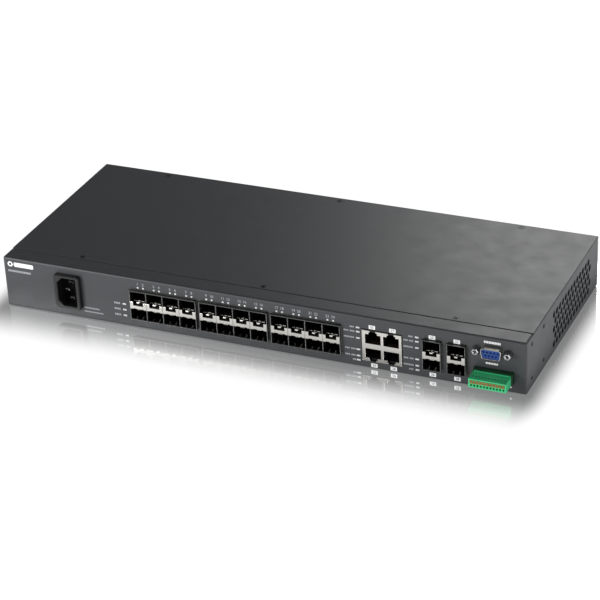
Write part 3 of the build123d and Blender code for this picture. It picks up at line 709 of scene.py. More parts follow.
    def finish(self, name: str, body: str, slot: str, *nodes: str,
               smooth_deg: float = 40.0) -> bpy.types.Object:
        """Turn the faces into an object that rides on a body.

        Args:
            name: the piece's name.
            body: the CAD body that it rides on.
            slot: the record's material slot; it is not used.
            nodes: CAD nodes that it stands for.
            smooth_deg: edges under this angle are shaded smooth.

        Returns:
            The object.
        """
        bmesh.ops.recalc_face_normals(self.mesh, faces=self.mesh.faces)
        limit = math.radians(smooth_deg)
        for edge in self.mesh.edges:
            edge.smooth = edge.calc_face_angle(math.pi) < limit
        bmesh.ops.scale(self.mesh, vec=(MM, MM, MM), verts=self.mesh.verts)
        data = bpy.data.meshes.new(name)
        self.mesh.to_mesh(data)
        self.mesh.free()
        for finish in self.finishes:
            data.materials.append(finish.material())
        piece = bpy.data.objects.new(name, data)
        bpy.context.scene.collection.objects.link(piece)
        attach(piece, body)
        if nodes:
            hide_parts(*nodes)
        log.info("%s: %d faces", name, len(data.polygons))
        return piece


# ---------------------------------------------------------------- names of the frame's nodes
FIBRE_CAGES = ("sfp_cage_a", "sfp_cage_b", "sfp_cage_c")
COMBO_CAGES = ("combo_cage_a", "combo_cage_b")
CAGES = FIBRE_CAGES + COMBO_CAGES
CASE_BODY = "chassis"
PLUG_BODY = "plug"
ROTOR_NODES = {"fan_rotor_front": "rotor_front", "fan_rotor_rear": "rotor_rear"}
UP = Vector((0, 0, 1))
ACROSS = Vector((1, 0, 0))
OUT = Vector((0, -1, 0))


def d_outline(x: float, z: float, margin: float = 0.0) -> Loop:
    """The D-shaped outline of the console connector, wide side up, seen from the front.

    Args:
        x: its middle.
        z: its middle height.
        margin: how far outside the shell.

    Returns:
        The loop.
    """
    corners = [(x - 7.1, z - 4.2), (x + 7.1, z - 4.2), (x + 8.3, z + 4.2), (x - 8.3, z + 4.2)]
    return round_off(grow(corners, margin), 2.0 + margin, 5)


def phillips(x: float, y: float, arm: float, half: float) -> Loop:
    """The outline of a cross recess.

    Args:
        x: its middle.
        y: its middle.
        arm: how far each arm reaches.
        half: half of an arm's width.

    Returns:
        The loop.
    """
    signs = ((1, -1), (1, 1), (-1, 1), (-1, -1))
    loop: Loop = []
    for number, (a, b) in enumerate(signs):
        outer = (arm, half) if number % 2 == 0 else (half, arm)
        other = (half, arm) if number % 2 == 0 else (arm, half)
        loop.append((x + a * outer[0], y + b * outer[1]))
        loop.append((x + a * half, y + b * half))
        loop.append((x + a * other[0], y + b * other[1]))
    return loop


# ---------------------------------------------------------------- the case
@dataclass
class Case:
    """The folded steel base, its flat lid and their screws."""

    frame: Frame
    sheet: float = 1.2
    fold: float = 1.7
    flange: float = 15.0
    gasket: float = 1.0
    vent_flats: float = 5.4
    vent_pitch: float = 7.3
    vent_rows: int = 5
    vent_columns: int = 13
    vent_middle: Point = (21.0, 21.1)
    ear_radius: float = 1.65
    ear_middle: Point = (-63.5, 22.75)
    ear_spacing: Point = (28.0, 29.0)
    screw_radius: float = 1.6
    low: Vector = field(init=False)
    high: Vector = field(init=False)

    def __post_init__(self) -> None:
        """Read the case's corners from the frame."""
        self.low, self.high = self.frame.box("base_chassis")

    def build(self) -> None:
        """Build the base, the lid and all their screws."""
        self.build_base()
        self.build_lid()
        self.build_lid_screws()
        self.build_ground_screw()

    def front_holes(self) -> list[Hole]:
        """Every opening in the front panel.

        Returns:
            The holes, in X and Z.
        """
        holes = []
        for name in CAGES:
            low, high = self.frame.box(name)
            gap = self.gasket
            holes.append(Hole(rectangle(low.x - gap, high.x + gap, low.z - gap, high.z + gap, 0.5)))
        for name, gap, skirt in (("rj45_shield", 0.4, 1.7), ("terminal_header", 0.2, 0.0)):
            low, high = self.frame.box(name)
            holes.append(Hole(rectangle(low.x - gap, high.x + gap, low.z - gap - skirt, high.z + gap, 0.3)))
        low, high = self.frame.box("inlet_housing")
        holes.append(Hole(rectangle(low.x + 1.3, high.x - 1.3, low.z + 1.1, high.z - 1.1, 1.0)))
        low, high = self.frame.box("dsub_jackscrews")
        middle = (low + high) / 2
        holes.append(Hole(d_outline(middle.x, middle.z, 0.25)))
        for low, high in self.frame.solids("dsub_jackscrews"):
            holes.append(Hole(circle((low.x + high.x) / 2, (low.z + high.z) / 2, 1.6, 16)))
        for low, high in self.frame.solids("led_light_pipes"):
            gap = 0.04
            holes.append(Hole(rectangle(low.x - gap, high.x + gap, low.z - gap, high.z + gap), 0.06))
        return holes

    def side_holes(self, sign: int) -> list[Hole]:
        """The vents and ear holes of one side.

        Args:
            sign: 1 if the place's u runs along +Y, and -1 if it runs along -Y.

        Returns:
            The holes, in the place's u and Z.
        """
        holes = []
        corner = self.vent_flats / math.sqrt(3)
        for row in range(self.vent_rows):
            z = self.vent_middle[1] + (row - (self.vent_rows - 1) / 2) * self.vent_pitch * 0.866
            shift = 0.25 if row % 2 else -0.25
            for column in range(self.vent_columns):
                y = self.vent_middle[0] + (column - (self.vent_columns - 1) / 2 + shift) * self.vent_pitch
                holes.append(Hole(circle(y * sign, z, corner, 6, math.pi / 6), 0.18))
        for side in (-0.5, 0.5):
            for level in (-0.5, 0.5):
                y = self.ear_middle[0] + side * self.ear_spacing[0]
                z = self.ear_middle[1] + level * self.ear_spacing[1]
                holes.append(Hole(circle(y * sign, z, self.ear_radius, 20), 0.3))
        return holes

    def build_base(self) -> None:
        """Fold floor, front, rear and sides from one sheet."""
        shape = Builder(POWDER_COAT)
        low, high, fold, thick = self.low, self.high, self.fold, self.sheet
        shelf = high.z - thick
        front_outline = rectangle(low.x + fold, high.x - fold, low.z + fold, high.z - fold)
        shape.plate(facing_front(low.y), front_outline, thick, self.front_holes(), 0.0)
        rear_outline = rectangle(-high.x + fold, -low.x - fold, low.z + fold, shelf)
        shape.plate(facing_rear(high.y), rear_outline, thick,
                    [Hole(circle(-self.ground_place().x, self.ground_place().z, 1.65))], 0.0)
        for sign, place in ((1, facing_right(high.x)), (-1, facing_left(low.x))):
            near, far, seam = low.y + fold, high.y - fold, low.y + self.flange
            outline = [(near, low.z + fold), (far, low.z + fold), (far, shelf), (seam, shelf),
                       (seam, high.z - fold), (near, high.z - fold)]
            if sign < 0:
                outline = [(-y, z) for y, z in reversed(outline)]
            shape.plate(place, outline, thick, self.side_holes(sign), 0.0)
        shape.plate(facing_down(low.z), rectangle(low.x + fold, high.x - fold, -high.y + fold, -low.y - fold),
                    thick, (), 0.0)
        shape.plate(facing_up(high.z),
                    rectangle(low.x + fold, high.x - fold, low.y + fold, low.y + self.flange),
                    thick, (), 0.0)
        self.fold_edges(shape)
        self.add_ledges(shape)
        shape.finish("case_base", CASE_BODY, "powder_coated_steel", "base_chassis")

    def fold_edges(self, shape: Builder) -> None:
        """Add the round folds between the plates.

        Args:
            shape: the base.
        """
        low, high, fold, thick = self.low, self.high, self.fold, self.sheet
        for y, out in ((low.y, OUT), (high.y, -OUT)):
            shape.bend(Vector((low.x + fold, y, low.z)), Vector((high.x - fold, y, low.z)), out, -UP, fold,
                       thick)
        shape.bend(Vector((low.x + fold, low.y, high.z)), Vector((high.x - fold, low.y, high.z)), OUT, UP,
                   fold, thick)
        for x, side in ((low.x, -ACROSS), (high.x, ACROSS)):
            shape.bend(Vector((x, low.y + fold, low.z)), Vector((x, high.y - fold, low.z)), side, -UP, fold,
                       thick)
            shape.bend(Vector((x, low.y + fold, high.z)), Vector((x, low.y + self.flange, high.z)), side, UP,
                       fold, thick)
            shape.bend(Vector((x, low.y, low.z + fold)), Vector((x, low.y, high.z - fold)), side, OUT, fold,
                       thick)
            shape.bend(Vector((x, high.y, low.z + fold)), Vector((x, high.y, high.z - thick)), side, -OUT,
                       fold, thick)
            sign = 1 if x > 0 else -1
            for corner, up in ((Vector((x, low.y, low.z)), -1), (Vector((x, low.y, high.z)), 1)):
                shape.ball_corner(corner, (sign, -1, up), fold)
            shape.ball_corner(Vector((x, high.y, low.z)), (sign, 1, -1), fold)

    def add_ledges(self, shape: Builder) -> None:
        """Add the flanges that carry the lid.

        Args:
            shape: the base.
        """
        low, high, thick = self.low, self.high, self.sheet
        top = high.z - thick
        seam = low.y + self.flange
        reach = 10.0
        shape.block((low.x + thick, seam, top - thick), (low.x + reach, high.y - thick, top), 0.0)
        shape.block((high.x - reach, seam, top - thick), (high.x - thick, high.y - thick, top), 0.0)
        shape.block((low.x + reach, high.y - reach, top - thick), (high.x - reach, high.y - thick, top), 0.0)
        shape.block((low.x + thick, seam - 6.0, top - thick), (high.x - thick, seam + reach, top), 0.0)

    def build_lid(self) -> None:
        """Build the flat lid, with countersunk holes."""
        low, high = self.frame.box("top_cover")
        shape = Builder(POWDER_COAT)
        holes = [Hole(circle(x, y, self.screw_radius, 28), 1.15) for x, y in self.lid_screws()]
        outline = rectangle(low.x, high.x, low.y + 0.7, high.y, 0.8)
        shape.plate(facing_up(high.z), outline, high.z - low.z - 0.12, holes, 0.4)
        shape.finish("lid", CASE_BODY, "powder_coated_steel", "top_cover")

    def lid_screws(self) -> list[Point]:
        """Middles of the lid's screws."""
        return [((low.x + high.x) / 2, (low.y + high.y) / 2) for low,
                high in self.frame.solids("cover_screws")]

    def build_lid_screws(self) -> None:
        """Build the flush screws, each with a cross recess."""
        shape = Builder(BLACK_SCREW_AND_SHADOW)
        _, high = self.frame.box("cover_screws")
        for x, y in self.lid_screws():
            place = facing_up(high.z)
            shape.plate(place, circle(x, y, 2.6, 32), 0.55, [Hole(phillips(x, y, 1.35, 0.28), 0.08)], 0.1)
            shape.lathe(Vector((x, y, high.z - 0.56)), -UP,
                        ((0, 0), (0, 2.1), (0.6, 1.45), (0.7, 1.2), (4.0, 1.2), (4.3, 0.9), (4.3, 0)))
        shape.finish("lid_screws", CASE_BODY, "black_screw", "cover_screws")

    def ground_place(self) -> Vector:
        """Where the earth screw enters the rear panel."""
        low, high = self.frame.box("ground_screw")
        return Vector(((low.x + high.x) / 2, self.high.y, (low.z + high.z) / 2))

    def build_ground_screw(self) -> None:
        """Build the earth screw with its toothed washer."""
        shape = Builder(ZINC)
        at = self.ground_place()
        place = facing_rear(at.y)
        teeth = 18
        rim = [(-at.x + math.cos(math.tau * step / (teeth * 2)) * (4.6 if step % 2 else 4.1),
                at.z + math.sin(math.tau * step / (teeth * 2)) * (4.6 if step % 2 else 4.1))
               for step in range(teeth * 2)]
        washer = Place((0, at.y + 0.8, 0), place.u, place.v)
        shape.plate(washer, rim, 0.8, [Hole(circle(-at.x, at.z, 1.65, 24), 0.1)], 0.1)
        head = Place((0, at.y + 3.0, 0), place.u, place.v)
        slot = rectangle(-at.x - 2.9, -at.x + 2.9, at.z - 0.45, at.z + 0.45)
        shape.plate(head, circle(-at.x, at.z, 3.6, 36), 1.0, [Hole(slot, 0.06)], 0.35)
        shape.lathe(at + Vector((0, 2.0, 0)), OUT,
                    ((0, 0), (0, 3.5), (0.1, 3.6), (1.2, 3.6), (1.2, 1.6), (7.6, 1.6), (8.0, 1.2), (8.0, 0)),
                    36)
        shape.finish("earth_screw", CASE_BODY, "zinc_steel", "ground_screw")


# ---------------------------------------------------------------- module cages
@dataclass
class Cage:
    """A stacked cage for two rows of fibre modules, folded from plated sheet."""

    frame: Frame
    node: str
    columns: int
    sheet: float = 0.4
    pitch: float = 14.25
    bar: tuple[float, float] = (17.6, 24.2)
    latch: tuple[float, float, float, float] = (8.8, 0.9, 3.2, 3.0)
    low: Vector = field(init=False)
    high: Vector = field(init=False)

    def __post_init__(self) -> None:
        """Read the cage's corners from the frame."""
        self.low, self.high = self.frame.box(self.node)

    def build(self) -> None:
        """Build the walls, the bars between the rows and the latch tongues."""
        shape = Builder(CAGE_PLATE, CAGE_PAINTED_SHADE, CAGE_EDGE)
        self.add_walls(shape)
        for column in range(self.columns):
            left = self.low.x + self.sheet + column * self.pitch
            right = left + self.pitch - self.sheet
            self.add_bar(shape, left, right)
            self.add_tongues(shape, (left + right) / 2)
            self.add_side_springs(shape, left, right)
        shape.finish(self.node.replace("cage", "cage_shell"), CASE_BODY, "nickel_plate", self.node)

    def add_walls(self, shape: Builder) -> None:
        """Add the outer walls and the dividers, each with a bright rim and an inside painted dark as shade.

        Args:
            shape: the cage.
        """
        low, high, thick = self.low, self.high, self.sheet
        rim = 1.6
        # Behind the rim the walls take the dark finish: painted shade inside the tunnels.
        for near, far, coat in ((low.y, low.y + rim, CAGE_EDGE), (low.y + rim, high.y - thick, CAGE_PAINTED_SHADE)):
            shape.use(coat)
            edge = 0.1 if coat is CAGE_EDGE else 0.0
            shape.block((low.x, near, high.z - thick), (high.x, far, high.z), edge)
            shape.block((low.x, near, low.z), (high.x, far, low.z + thick), edge)
            for wall in range(self.columns + 1):
                x = low.x + wall * self.pitch
                shape.block((x, near, low.z + thick), (x + thick, far, high.z - thick), edge)
        # The back wall is dark too: painted shade at the far end of the tunnels.
        shape.use(CAGE_PAINTED_SHADE)
        shape.block((low.x, high.y - thick, low.z), (high.x, high.y, high.z), 0.0)

    def add_bar(self, shape: Builder, left: float, right: float) -> None:
        """Add the folded channel between a lower and an upper port.

        Args:
            shape: the cage.
            left: its left side.
            right: its right side.
        """
        bottom, top = self.bar
        wide, low_cut, high_cut, deep = self.latch
        middle = (left + right) / 2
        near = self.low.y
        far = self.high.y - self.sheet
        roll = 0.55
        shape.use(CAGE_PLATE)
        web = bottom + low_cut, top - high_cut
        face = [(left, bottom + roll), (middle - wide / 2, bottom + roll), (middle - wide / 2, web[0]),
                (middle + wide / 2, web[0]), (middle + wide / 2, bottom + roll), (right, bottom + roll),
                (right, top - roll), (middle + wide / 2, top - roll), (middle + wide / 2, web[1]),
                (middle - wide / 2, web[1]), (middle - wide / 2, top - roll), (left, top - roll)]
        shape.plate(facing_front(near), face, self.sheet, (), 0.0)
        for x0, x1 in ((left, middle - wide / 2), (middle + wide / 2, right)):
            for z, up in ((top, UP), (bottom, -UP)):
                shape.bend(Vector((x0, near, z)), Vector((x1, near, z)), OUT, up, roll, self.sheet)
        shelf = [(left, near + roll), (middle - wide / 2, near + roll), (middle - wide / 2, near + deep),
                 (middle + wide / 2, near + deep), (middle + wide / 2, near + roll), (right, near + roll),
                 (right, far), (left, far)]
        shape.plate(facing_up(top), shelf, self.sheet, (), 0.0)
        shape.plate(facing_down(bottom), [(x, -y) for x, y in reversed(shelf)], self.sheet, (), 0.0)
        # A dark strip behind the latch channel: painted shade.
        shape.use(CAGE_PAINTED_SHADE)
        shape.block((left, near + deep + 1.5, bottom + self.sheet),
                    (right, near + deep + 2.0, top - self.sheet), 0.0)
        shape.use(CAGE_PLATE)
        shape.block((middle - wide / 2, near + self.sheet, web[1] - self.sheet),
                    (middle + wide / 2, near + deep, web[1]), 0.05)
        shape.block((middle - wide / 2, near + self.sheet, web[0]),
                    (middle + wide / 2, near + deep, web[0] + self.sheet), 0.05)

    def add_tongues(self, shape: Builder, middle: float) -> None:
        """Add the sprung latch tongues, each with the hole that holds a module.

        Args:
            shape: the cage.
            middle: the middle of the column.
        """
        near = self.low.y
        half = 2.1
        thick = 0.3
        outline = [(middle - half, near + 1.4), (middle - 1.2, near + 0.5), (middle + 1.2, near + 0.5),
                   (middle + half, near + 1.4), (middle + half, near + 9.0), (middle - half, near + 9.0)]
        hole = [(middle - 1.3, near + 3.3), (middle, near + 1.5), (middle + 1.3, near + 3.3)]
        bottom, top = self.bar
        shape.plate(facing_up(top + 0.25), outline, thick, [Hole(ccw(hole), 0.06)], 0.06)
        shape.plate(facing_down(bottom - 0.25), [(x, -y) for x, y in reversed(outline)], thick,
                    [Hole(ccw([(x, -y) for x, y in hole]), 0.06)], 0.06)
        for z, sign in ((top + 0.1, -1), (bottom - 0.1, 1)):
            lip = [Vector((middle, near + 0.8, z)), Vector((middle, near + 0.35, z + sign * 0.12)),
                   Vector((middle, near + 0.15, z + sign * 0.5)),
                   Vector((middle, near + 0.2, z + sign * 1.1))]
            shape.sweep(lip, 2.3, thick, ACROSS)

    def add_side_springs(self, shape: Builder, left: float, right: float) -> None:
        """Add the small earthing springs at the mouth of both ports.

        Args:
            shape: the cage.
            left: the column's left side.
            right: its right side.
        """
        shape.use(CAGE_PLATE)
        near = self.low.y
        bottom, top = self.bar
        for z0, z1 in ((self.low.z + self.sheet, bottom), (top, self.high.z - self.sheet)):
            for x, sign in ((left, 1), (right, -1)):
                for share in (0.36, 0.68):
                    z = z0 + (z1 - z0) * share
                    path = [Vector((x + sign * 0.08, near + 0.3, z)),
                            Vector((x + sign * 0.22, near + 1.6, z)),
                            Vector((x + sign * 0.6, near + 3.4, z)), Vector((x + sign * 0.12, near + 5.6, z))]
                    shape.sweep(path, 1.1, 0.12, UP)
        middle = (left + right) / 2
        floor = self.low.z + self.sheet
        for side in (-2.6, 2.6):
            path = [Vector((middle + side, near + 0.4, floor + 0.1)),
                    Vector((middle + side, near + 1.4, floor + 0.5)),
                    Vector((middle + side, near + 3.2, floor + 1.5)),
                    Vector((middle + side, near + 5.2, floor + 0.4))]
            shape.sweep(path, 1.3, 0.15, ACROSS)


def ccw(loop: Loop) -> Loop:
    """The same loop, turned counter-clockwise."""
    area = sum(a[0] * b[1] - b[0] * a[1] for a, b in zip(loop, loop[1:] + loop[:1]))
    return list(loop) if area > 0 else list(reversed(loop))


@dataclass
class Gaskets:
    """Spring fingers that close the gap between each cage and the panel."""

    frame: Frame
    gap: float = 1.0
    finger: float = 1.5
    pitch: float = 2.3

    def build(self) -> None:
        """Build one strip of fingers round every cage."""
        shape = Builder(GASKET_METAL)
        near, far = self.frame.box("cage_gaskets")
        for node in CAGES:
            low, high = self.frame.box(node)
            ring = rectangle(low.x - self.gap + 0.02, high.x + self.gap - 0.02,
                             low.z - self.gap + 0.02, high.z + self.gap - 0.02, 0.4)
            inner = rectangle(low.x - 0.02, high.x + 0.02, low.z - 0.02, high.z + 0.02)
            shape.plate(facing_front(near.y + 0.75), ring, far.y - near.y - 0.75, [Hole(inner, 0.0)], 0.0)
            self.add_fingers(shape, low, high, near.y)
        shape.finish("gasket_fingers", CASE_BODY, "gasket_metal", "cage_gaskets")

    def add_fingers(self, shape: Builder, low: Vector, high: Vector, near: float) -> None:
        """Add the fingers on all four sides of a cage.

        Args:
            shape: the strips.
            low: the cage's lowest corner.
            high: its highest corner.
            near: the front of the strip.
        """
        sides = ((low.x, high.x, low.z, -UP, ACROSS), (low.x, high.x, high.z, UP, ACROSS),
                 (low.z, high.z, low.x, -ACROSS, UP), (low.z, high.z, high.x, ACROSS, UP))
        for start, end, level, out, along in sides:
            count = int((end - start) / self.pitch)
            margin = (end - start - (count - 1) * self.pitch) / 2
            for number in range(count):
                place = along * (start + margin + number * self.pitch) + out * abs(level) * (1 if level * (
                    out.x + out.z) > 0 else -1)
                path = [place + out * reach + Vector((0, y, 0))
                        for reach,
                        y in ((0.1, near + 0.05), (0.45, near + 0.3), (0.8, near + 0.9), (0.85, near + 1.3))]
                shape.sweep(path, self.finger, 0.12, along)


# ---------------------------------------------------------------- copper jacks
@dataclass
class Jacks:
    """The block of four copper jacks: plated shield, black moulding and contact wires."""

    frame: Frame
    sheet: float = 0.4
    bore: float = 18.0
    opening: Point = (12.6, 7.9)
    half_bar: float = 2.2
    keys: tuple[Point, Point] = ((7.0, 1.6), (4.8, 1.0))
    places: tuple[float, float] = (98.1, 112.75)
    skirt: float = 1.7
    contacts: int = 8
    contact_pitch: float = 1.02

    def middle(self) -> float:
        """The height of the bar between the lower and the upper jacks."""
        low, high = self.frame.box("rj45_shield")
        return (low.z - self.skirt + high.z) / 2

    def cavities(self, floor: float = 0.0) -> list[Loop]:
        """The stepped outline of each jack.

        Args:
            floor: the height that no part of an outline goes below.

        Returns:
            The four loops, counter-clockwise, in X and Z.
        """
        middle = self.middle()
        loops = []
        for x in self.places:
            for sign in (-1, 1):
                level = middle + sign * self.half_bar
                right_side = [(x + self.opening[0] / 2, level)]
                level += sign * self.opening[1]
                right_side.append((x + self.opening[0] / 2, level))
                for wide, high_step in self.keys:
                    right_side.append((x + wide / 2, level))
                    level += sign * high_step
                    right_side.append((x + wide / 2, level))
                left_side = [(2 * x - u, v) for u, v in reversed(right_side)]
                clipped = [(u, max(v, floor)) for u, v in right_side + left_side]
                loops.append(ccw(list(dict.fromkeys(clipped))))
        return loops

    def build(self) -> None:
        """Build the shield, the moulding and the contacts."""
        low, high = self.frame.box("rj45_shield")
        low.z -= self.skirt
        shape = Builder(CAGE_PLATE)
        roll = 0.5
        holes = [Hole(loop, 0.12) for loop in self.cavities()]
        face = rectangle(low.x + roll, high.x - roll, low.z + roll, high.z - roll)
        shape.plate(facing_front(low.y), face, self.sheet, holes, 0.0)
        for z, up in ((low.z, -UP), (high.z, UP)):
            shape.bend(Vector((low.x + roll, low.y, z)), Vector((high.x - roll, low.y, z)), OUT, up, roll,
                       self.sheet)
        for x, side in ((low.x, -ACROSS), (high.x, ACROSS)):
            shape.bend(Vector((x, low.y, low.z + roll)), Vector((x, low.y, high.z - roll)), OUT, side, roll,
                       self.sheet)
        near = low.y + roll
        board = low.z + self.skirt
        lip = near + 2.2
        shape.block((low.x, near, board), (low.x + self.sheet, high.y, high.z), 0.05)
        shape.block((high.x - self.sheet, near, board), (high.x, high.y, high.z), 0.05)
        shape.block((low.x, near, low.z), (low.x + self.sheet, lip, board), 0.05)
        shape.block((high.x - self.sheet, near, low.z), (high.x, lip, board), 0.05)
        shape.block((low.x + self.sheet, near, high.z - self.sheet), (high.x - self.sheet, high.y, high.z),
                    0.0)
        shape.block((low.x + self.sheet, near, low.z), (high.x - self.sheet, lip, low.z + self.sheet), 0.0)
        for x in self.places:
            for sign in (-1, 1):
                z = self.middle() + sign * (self.half_bar + self.opening[1] * 0.55)
                for side in (-1, 1):
                    at = x + side * self.opening[0] / 2
                    path = [Vector((at, near + 0.1, z)), Vector((at - side * 0.35, near + 1.6, z)),
                            Vector((at - side * 0.7, near + 3.6, z)),
                            Vector((at - side * 0.1, near + 6.0, z))]
                    shape.sweep(path, 2.2, 0.15, UP)
        shape.finish("jack_shield", CASE_BODY, "nickel_plate", "rj45_shield")
        self.build_moulding()
        self.build_contacts()

    def build_contacts(self) -> None:
        """Build the sprung wires of every jack."""
        shape = Builder(GOLD)
        low, _ = self.frame.box("rj45_housing")
        for x in self.places:
            for sign in (-1, 1):
                base = self.middle() + sign * self.half_bar
                for number in range(self.contacts):
                    at = x + (number - (self.contacts - 1) / 2) * self.contact_pitch
                    path = [Vector((at, low.y + 3.6, base + sign * 0.1)),
                            Vector((at, low.y + 3.2, base + sign * 0.7)),
                            Vector((at, low.y + 4.2, base + sign * 1.1)),
                            Vector((at, low.y + 11.0, base + sign * 2.9)),
                            Vector((at, low.y + self.bore, base + sign * 4.1))]
                    shape.sweep(path, 0.36, 0.3, ACROSS)
        shape.finish("jack_contacts", CASE_BODY, "gold_contact", "rj45_contacts")

    def build_moulding(self) -> None:
        """Build the black moulding with its bores."""
        low, high = self.frame.box("rj45_housing")
        low.z -= self.skirt
        shape = Builder(BLACK_PLASTIC)
        board = low.z + self.skirt
        lip = 1.7
        front = rectangle(low.x, high.x, low.z, high.z)
        shape.plate(facing_front(low.y), front, lip, [Hole(loop, 0.1) for loop in self.cavities()], 0.0)
        rear = rectangle(low.x, high.x, board, high.z)
        shape.plate(facing_front(low.y + lip), rear, self.bore - lip,
                    [Hole(loop, 0.0) for loop in self.cavities(board + 0.4)], 0.0)
        shape.block((low.x, low.y + lip, low.z), (high.x, low.y + lip + 0.2, board + 0.4), 0.0)
        self.add_tabs(shape)
        shape.block((low.x, low.y + self.bore, low.z + self.skirt), (high.x, high.y, high.z), 0.0)
        middle = self.middle()
        for x in self.places:
            for sign in (-1, 1):
                base = middle + sign * self.half_bar
                for number in range(9):
                    at = x + (number - 4) * 1.02
                    inner, outer = sorted((base, base + sign * 1.1))
                    shape.block((at - 0.15, low.y + 9.0, inner), (at + 0.15, low.y + self.bore, outer), 0.0)
        shape.finish("jack_moulding", CASE_BODY, "black_plastic", "rj45_housing")


# ---------------------------------------------------------------- console port

    def add_tabs(self, shape: Builder) -> None:
        """Carry the moulding over the rim of the shield, beyond each key slot.

        Args:
            shape: the moulding.
        """
        low, high = self.frame.box("rj45_shield")
        low.z -= self.skirt
        proud = 0.03
        half = self.keys[1][0] / 2
        reach = self.half_bar + self.opening[1] + sum(step for _, step in self.keys)
        for x in self.places:
            for z0, z1 in ((low.z - proud, self.middle() - reach), (self.middle() + reach, high.z + proud)):
                shape.block((x - half, low.y - proud, z0), (x + half, low.y + 0.3, z1), 0.0)

@dataclass
class Console:
    """The nine-way console connector between its jackscrews."""

    frame: Frame
    wall: float = 0.45
    rim: float = 0.35
    contact_radius: float = 0.6
    contact_pitch: float = 2.77
    row_half: float = 1.42

    def middle(self) -> Vector:
        """The middle of the connector."""
        low, high = self.frame.box("dsub_jackscrews")
        return (low + high) / 2

    def build(self) -> None:
        """Build the shell, the insert and both jackscrews."""
        self.build_shell()
        self.build_insert()
        self.build_jackscrews()

    def build_shell(self) -> None:
        """Build the drawn shell on its mounting plate."""
        low, high = self.frame.box("dsub_shell")
        at = self.middle()
        shape = Builder(CAGE_PLATE)
        outer = d_outline(at.x, at.z)
        inner = d_outline(at.x, at.z, -self.wall)
        plate_y = high.y - 0.8
        shape.plate(facing_front(low.y), outer, plate_y - low.y, [Hole(inner, 0.12)], 0.18)
        flange = rectangle(low.x, high.x, low.z, high.z, 1.2)
        screws = [Hole(circle((one.x + two.x) / 2, at.z, 1.6, 20))
                  for one, two in self.frame.solids("dsub_jackscrews")]
        shape.plate(facing_front(plate_y), flange, 0.8, screws + [Hole(inner, 0.05)], 0.1)
        foot = d_outline(at.x, at.z, 0.2)
        shape.plate(facing_front(plate_y - 0.7), foot, 0.5, [Hole(outer, 0.0)], 0.15)
        for side in (-1, 1):
            for level, reach in ((at.z + 4.2, 1), (at.z - 4.2, -1)):
                shape.lathe(Vector((at.x + side * 4.2, low.y + 2.4, level - reach * 0.55)), UP * reach,
                            ((0, 0.9), (0.4, 0.85), (0.53, 0.5), (0.55, 0)), 16)
        shape.finish("console_shell", CASE_BODY, "nickel_plate", "dsub_shell")

    def build_insert(self) -> None:
        """Build the blue insert, its contact sockets and the body behind."""
        low, high = self.frame.box("dsub_insulator")
        at = self.middle()
        shape = Builder(BLUE_PLASTIC, GOLD)
        inner = d_outline(at.x, at.z, -self.wall - 0.02)
        holes = [(at.x + (number - (count - 1) / 2) * self.contact_pitch, z)
                 for count,
                 z in ((5, at.z + self.row_half), (4, at.z - self.row_half)) for number in range(count)]
        depth = 5.0
        shape.plate(facing_front(low.y), inner, depth,
                    [Hole(circle(x, z, self.contact_radius, 20), 0.28) for x, z in holes], 0.2)
        shape.plate(facing_front(low.y + depth), inner, high.y - 5.5 - low.y - depth, (), 0.0)
        shape.block((low.x, high.y - 5.5, low.z), (high.x, high.y, high.z), 0.2)
        shape.use(GOLD)
        for x, z in holes:
            shape.plate(facing_front(low.y + 2.2), circle(x, z, self.contact_radius - 0.02, 16), depth - 2.4,
                        [Hole(circle(x, z, self.contact_radius - 0.22, 16), 0.06)], 0.04)
        shape.finish("console_insert", CASE_BODY, "blue_plastic", "dsub_insulator")

    def build_jackscrews(self) -> None:
        """Build the hexagonal pillars with their threaded bores."""
        shape = Builder(ZINC, BLACK_SCREW_AND_SHADOW)
        for low, high in self.frame.solids("dsub_jackscrews"):
            shape.use(ZINC)
            x, z = (low.x + high.x) / 2, (low.z + high.z) / 2
            corner = (high.z - low.z) / 2
            if high.x - low.x > high.z - low.z:
                corner = (high.x - low.x) / 2
            turn = 0.0 if high.x - low.x > high.z - low.z else math.pi / 6
            panel = self.frame.box("base_chassis")[0].y
            hexagon = circle(x, z, corner, 6, turn)
            shape.plate(facing_front(low.y), hexagon, panel - low.y, [Hole(circle(x, z, 1.2, 24), 0.35)], 0.3,
                        0.2)
            turns = []
            for step in range(14):
                turns.append((step * 0.35, 1.2 if step % 2 else 1.04))
            shape.lathe(Vector((x, low.y + 0.4, z)), -OUT, turns, 24)
            shape.lathe(Vector((x, panel - 0.01, z)), -OUT, ((0, 0), (0, 1.4), (high.y - panel - 0.4, 1.4),
                                                             (high.y - panel, 1.1), (high.y - panel, 0)), 24)
            # A dark washer-shaped disc behind each pillar: painted shadow of the pillar and the panel's
            # cutout.
            shape.use(BLACK_SCREW_AND_SHADOW)
            washer = circle(x, z, corner + 0.9, 32)
            shape.plate(facing_front(panel - 0.35), washer, 0.33, [Hole(circle(x, z, 1.6, 24), 0.0)], 0.08)
        shape.finish("console_jackscrews", CASE_BODY, "zinc_steel", "dsub_jackscrews")


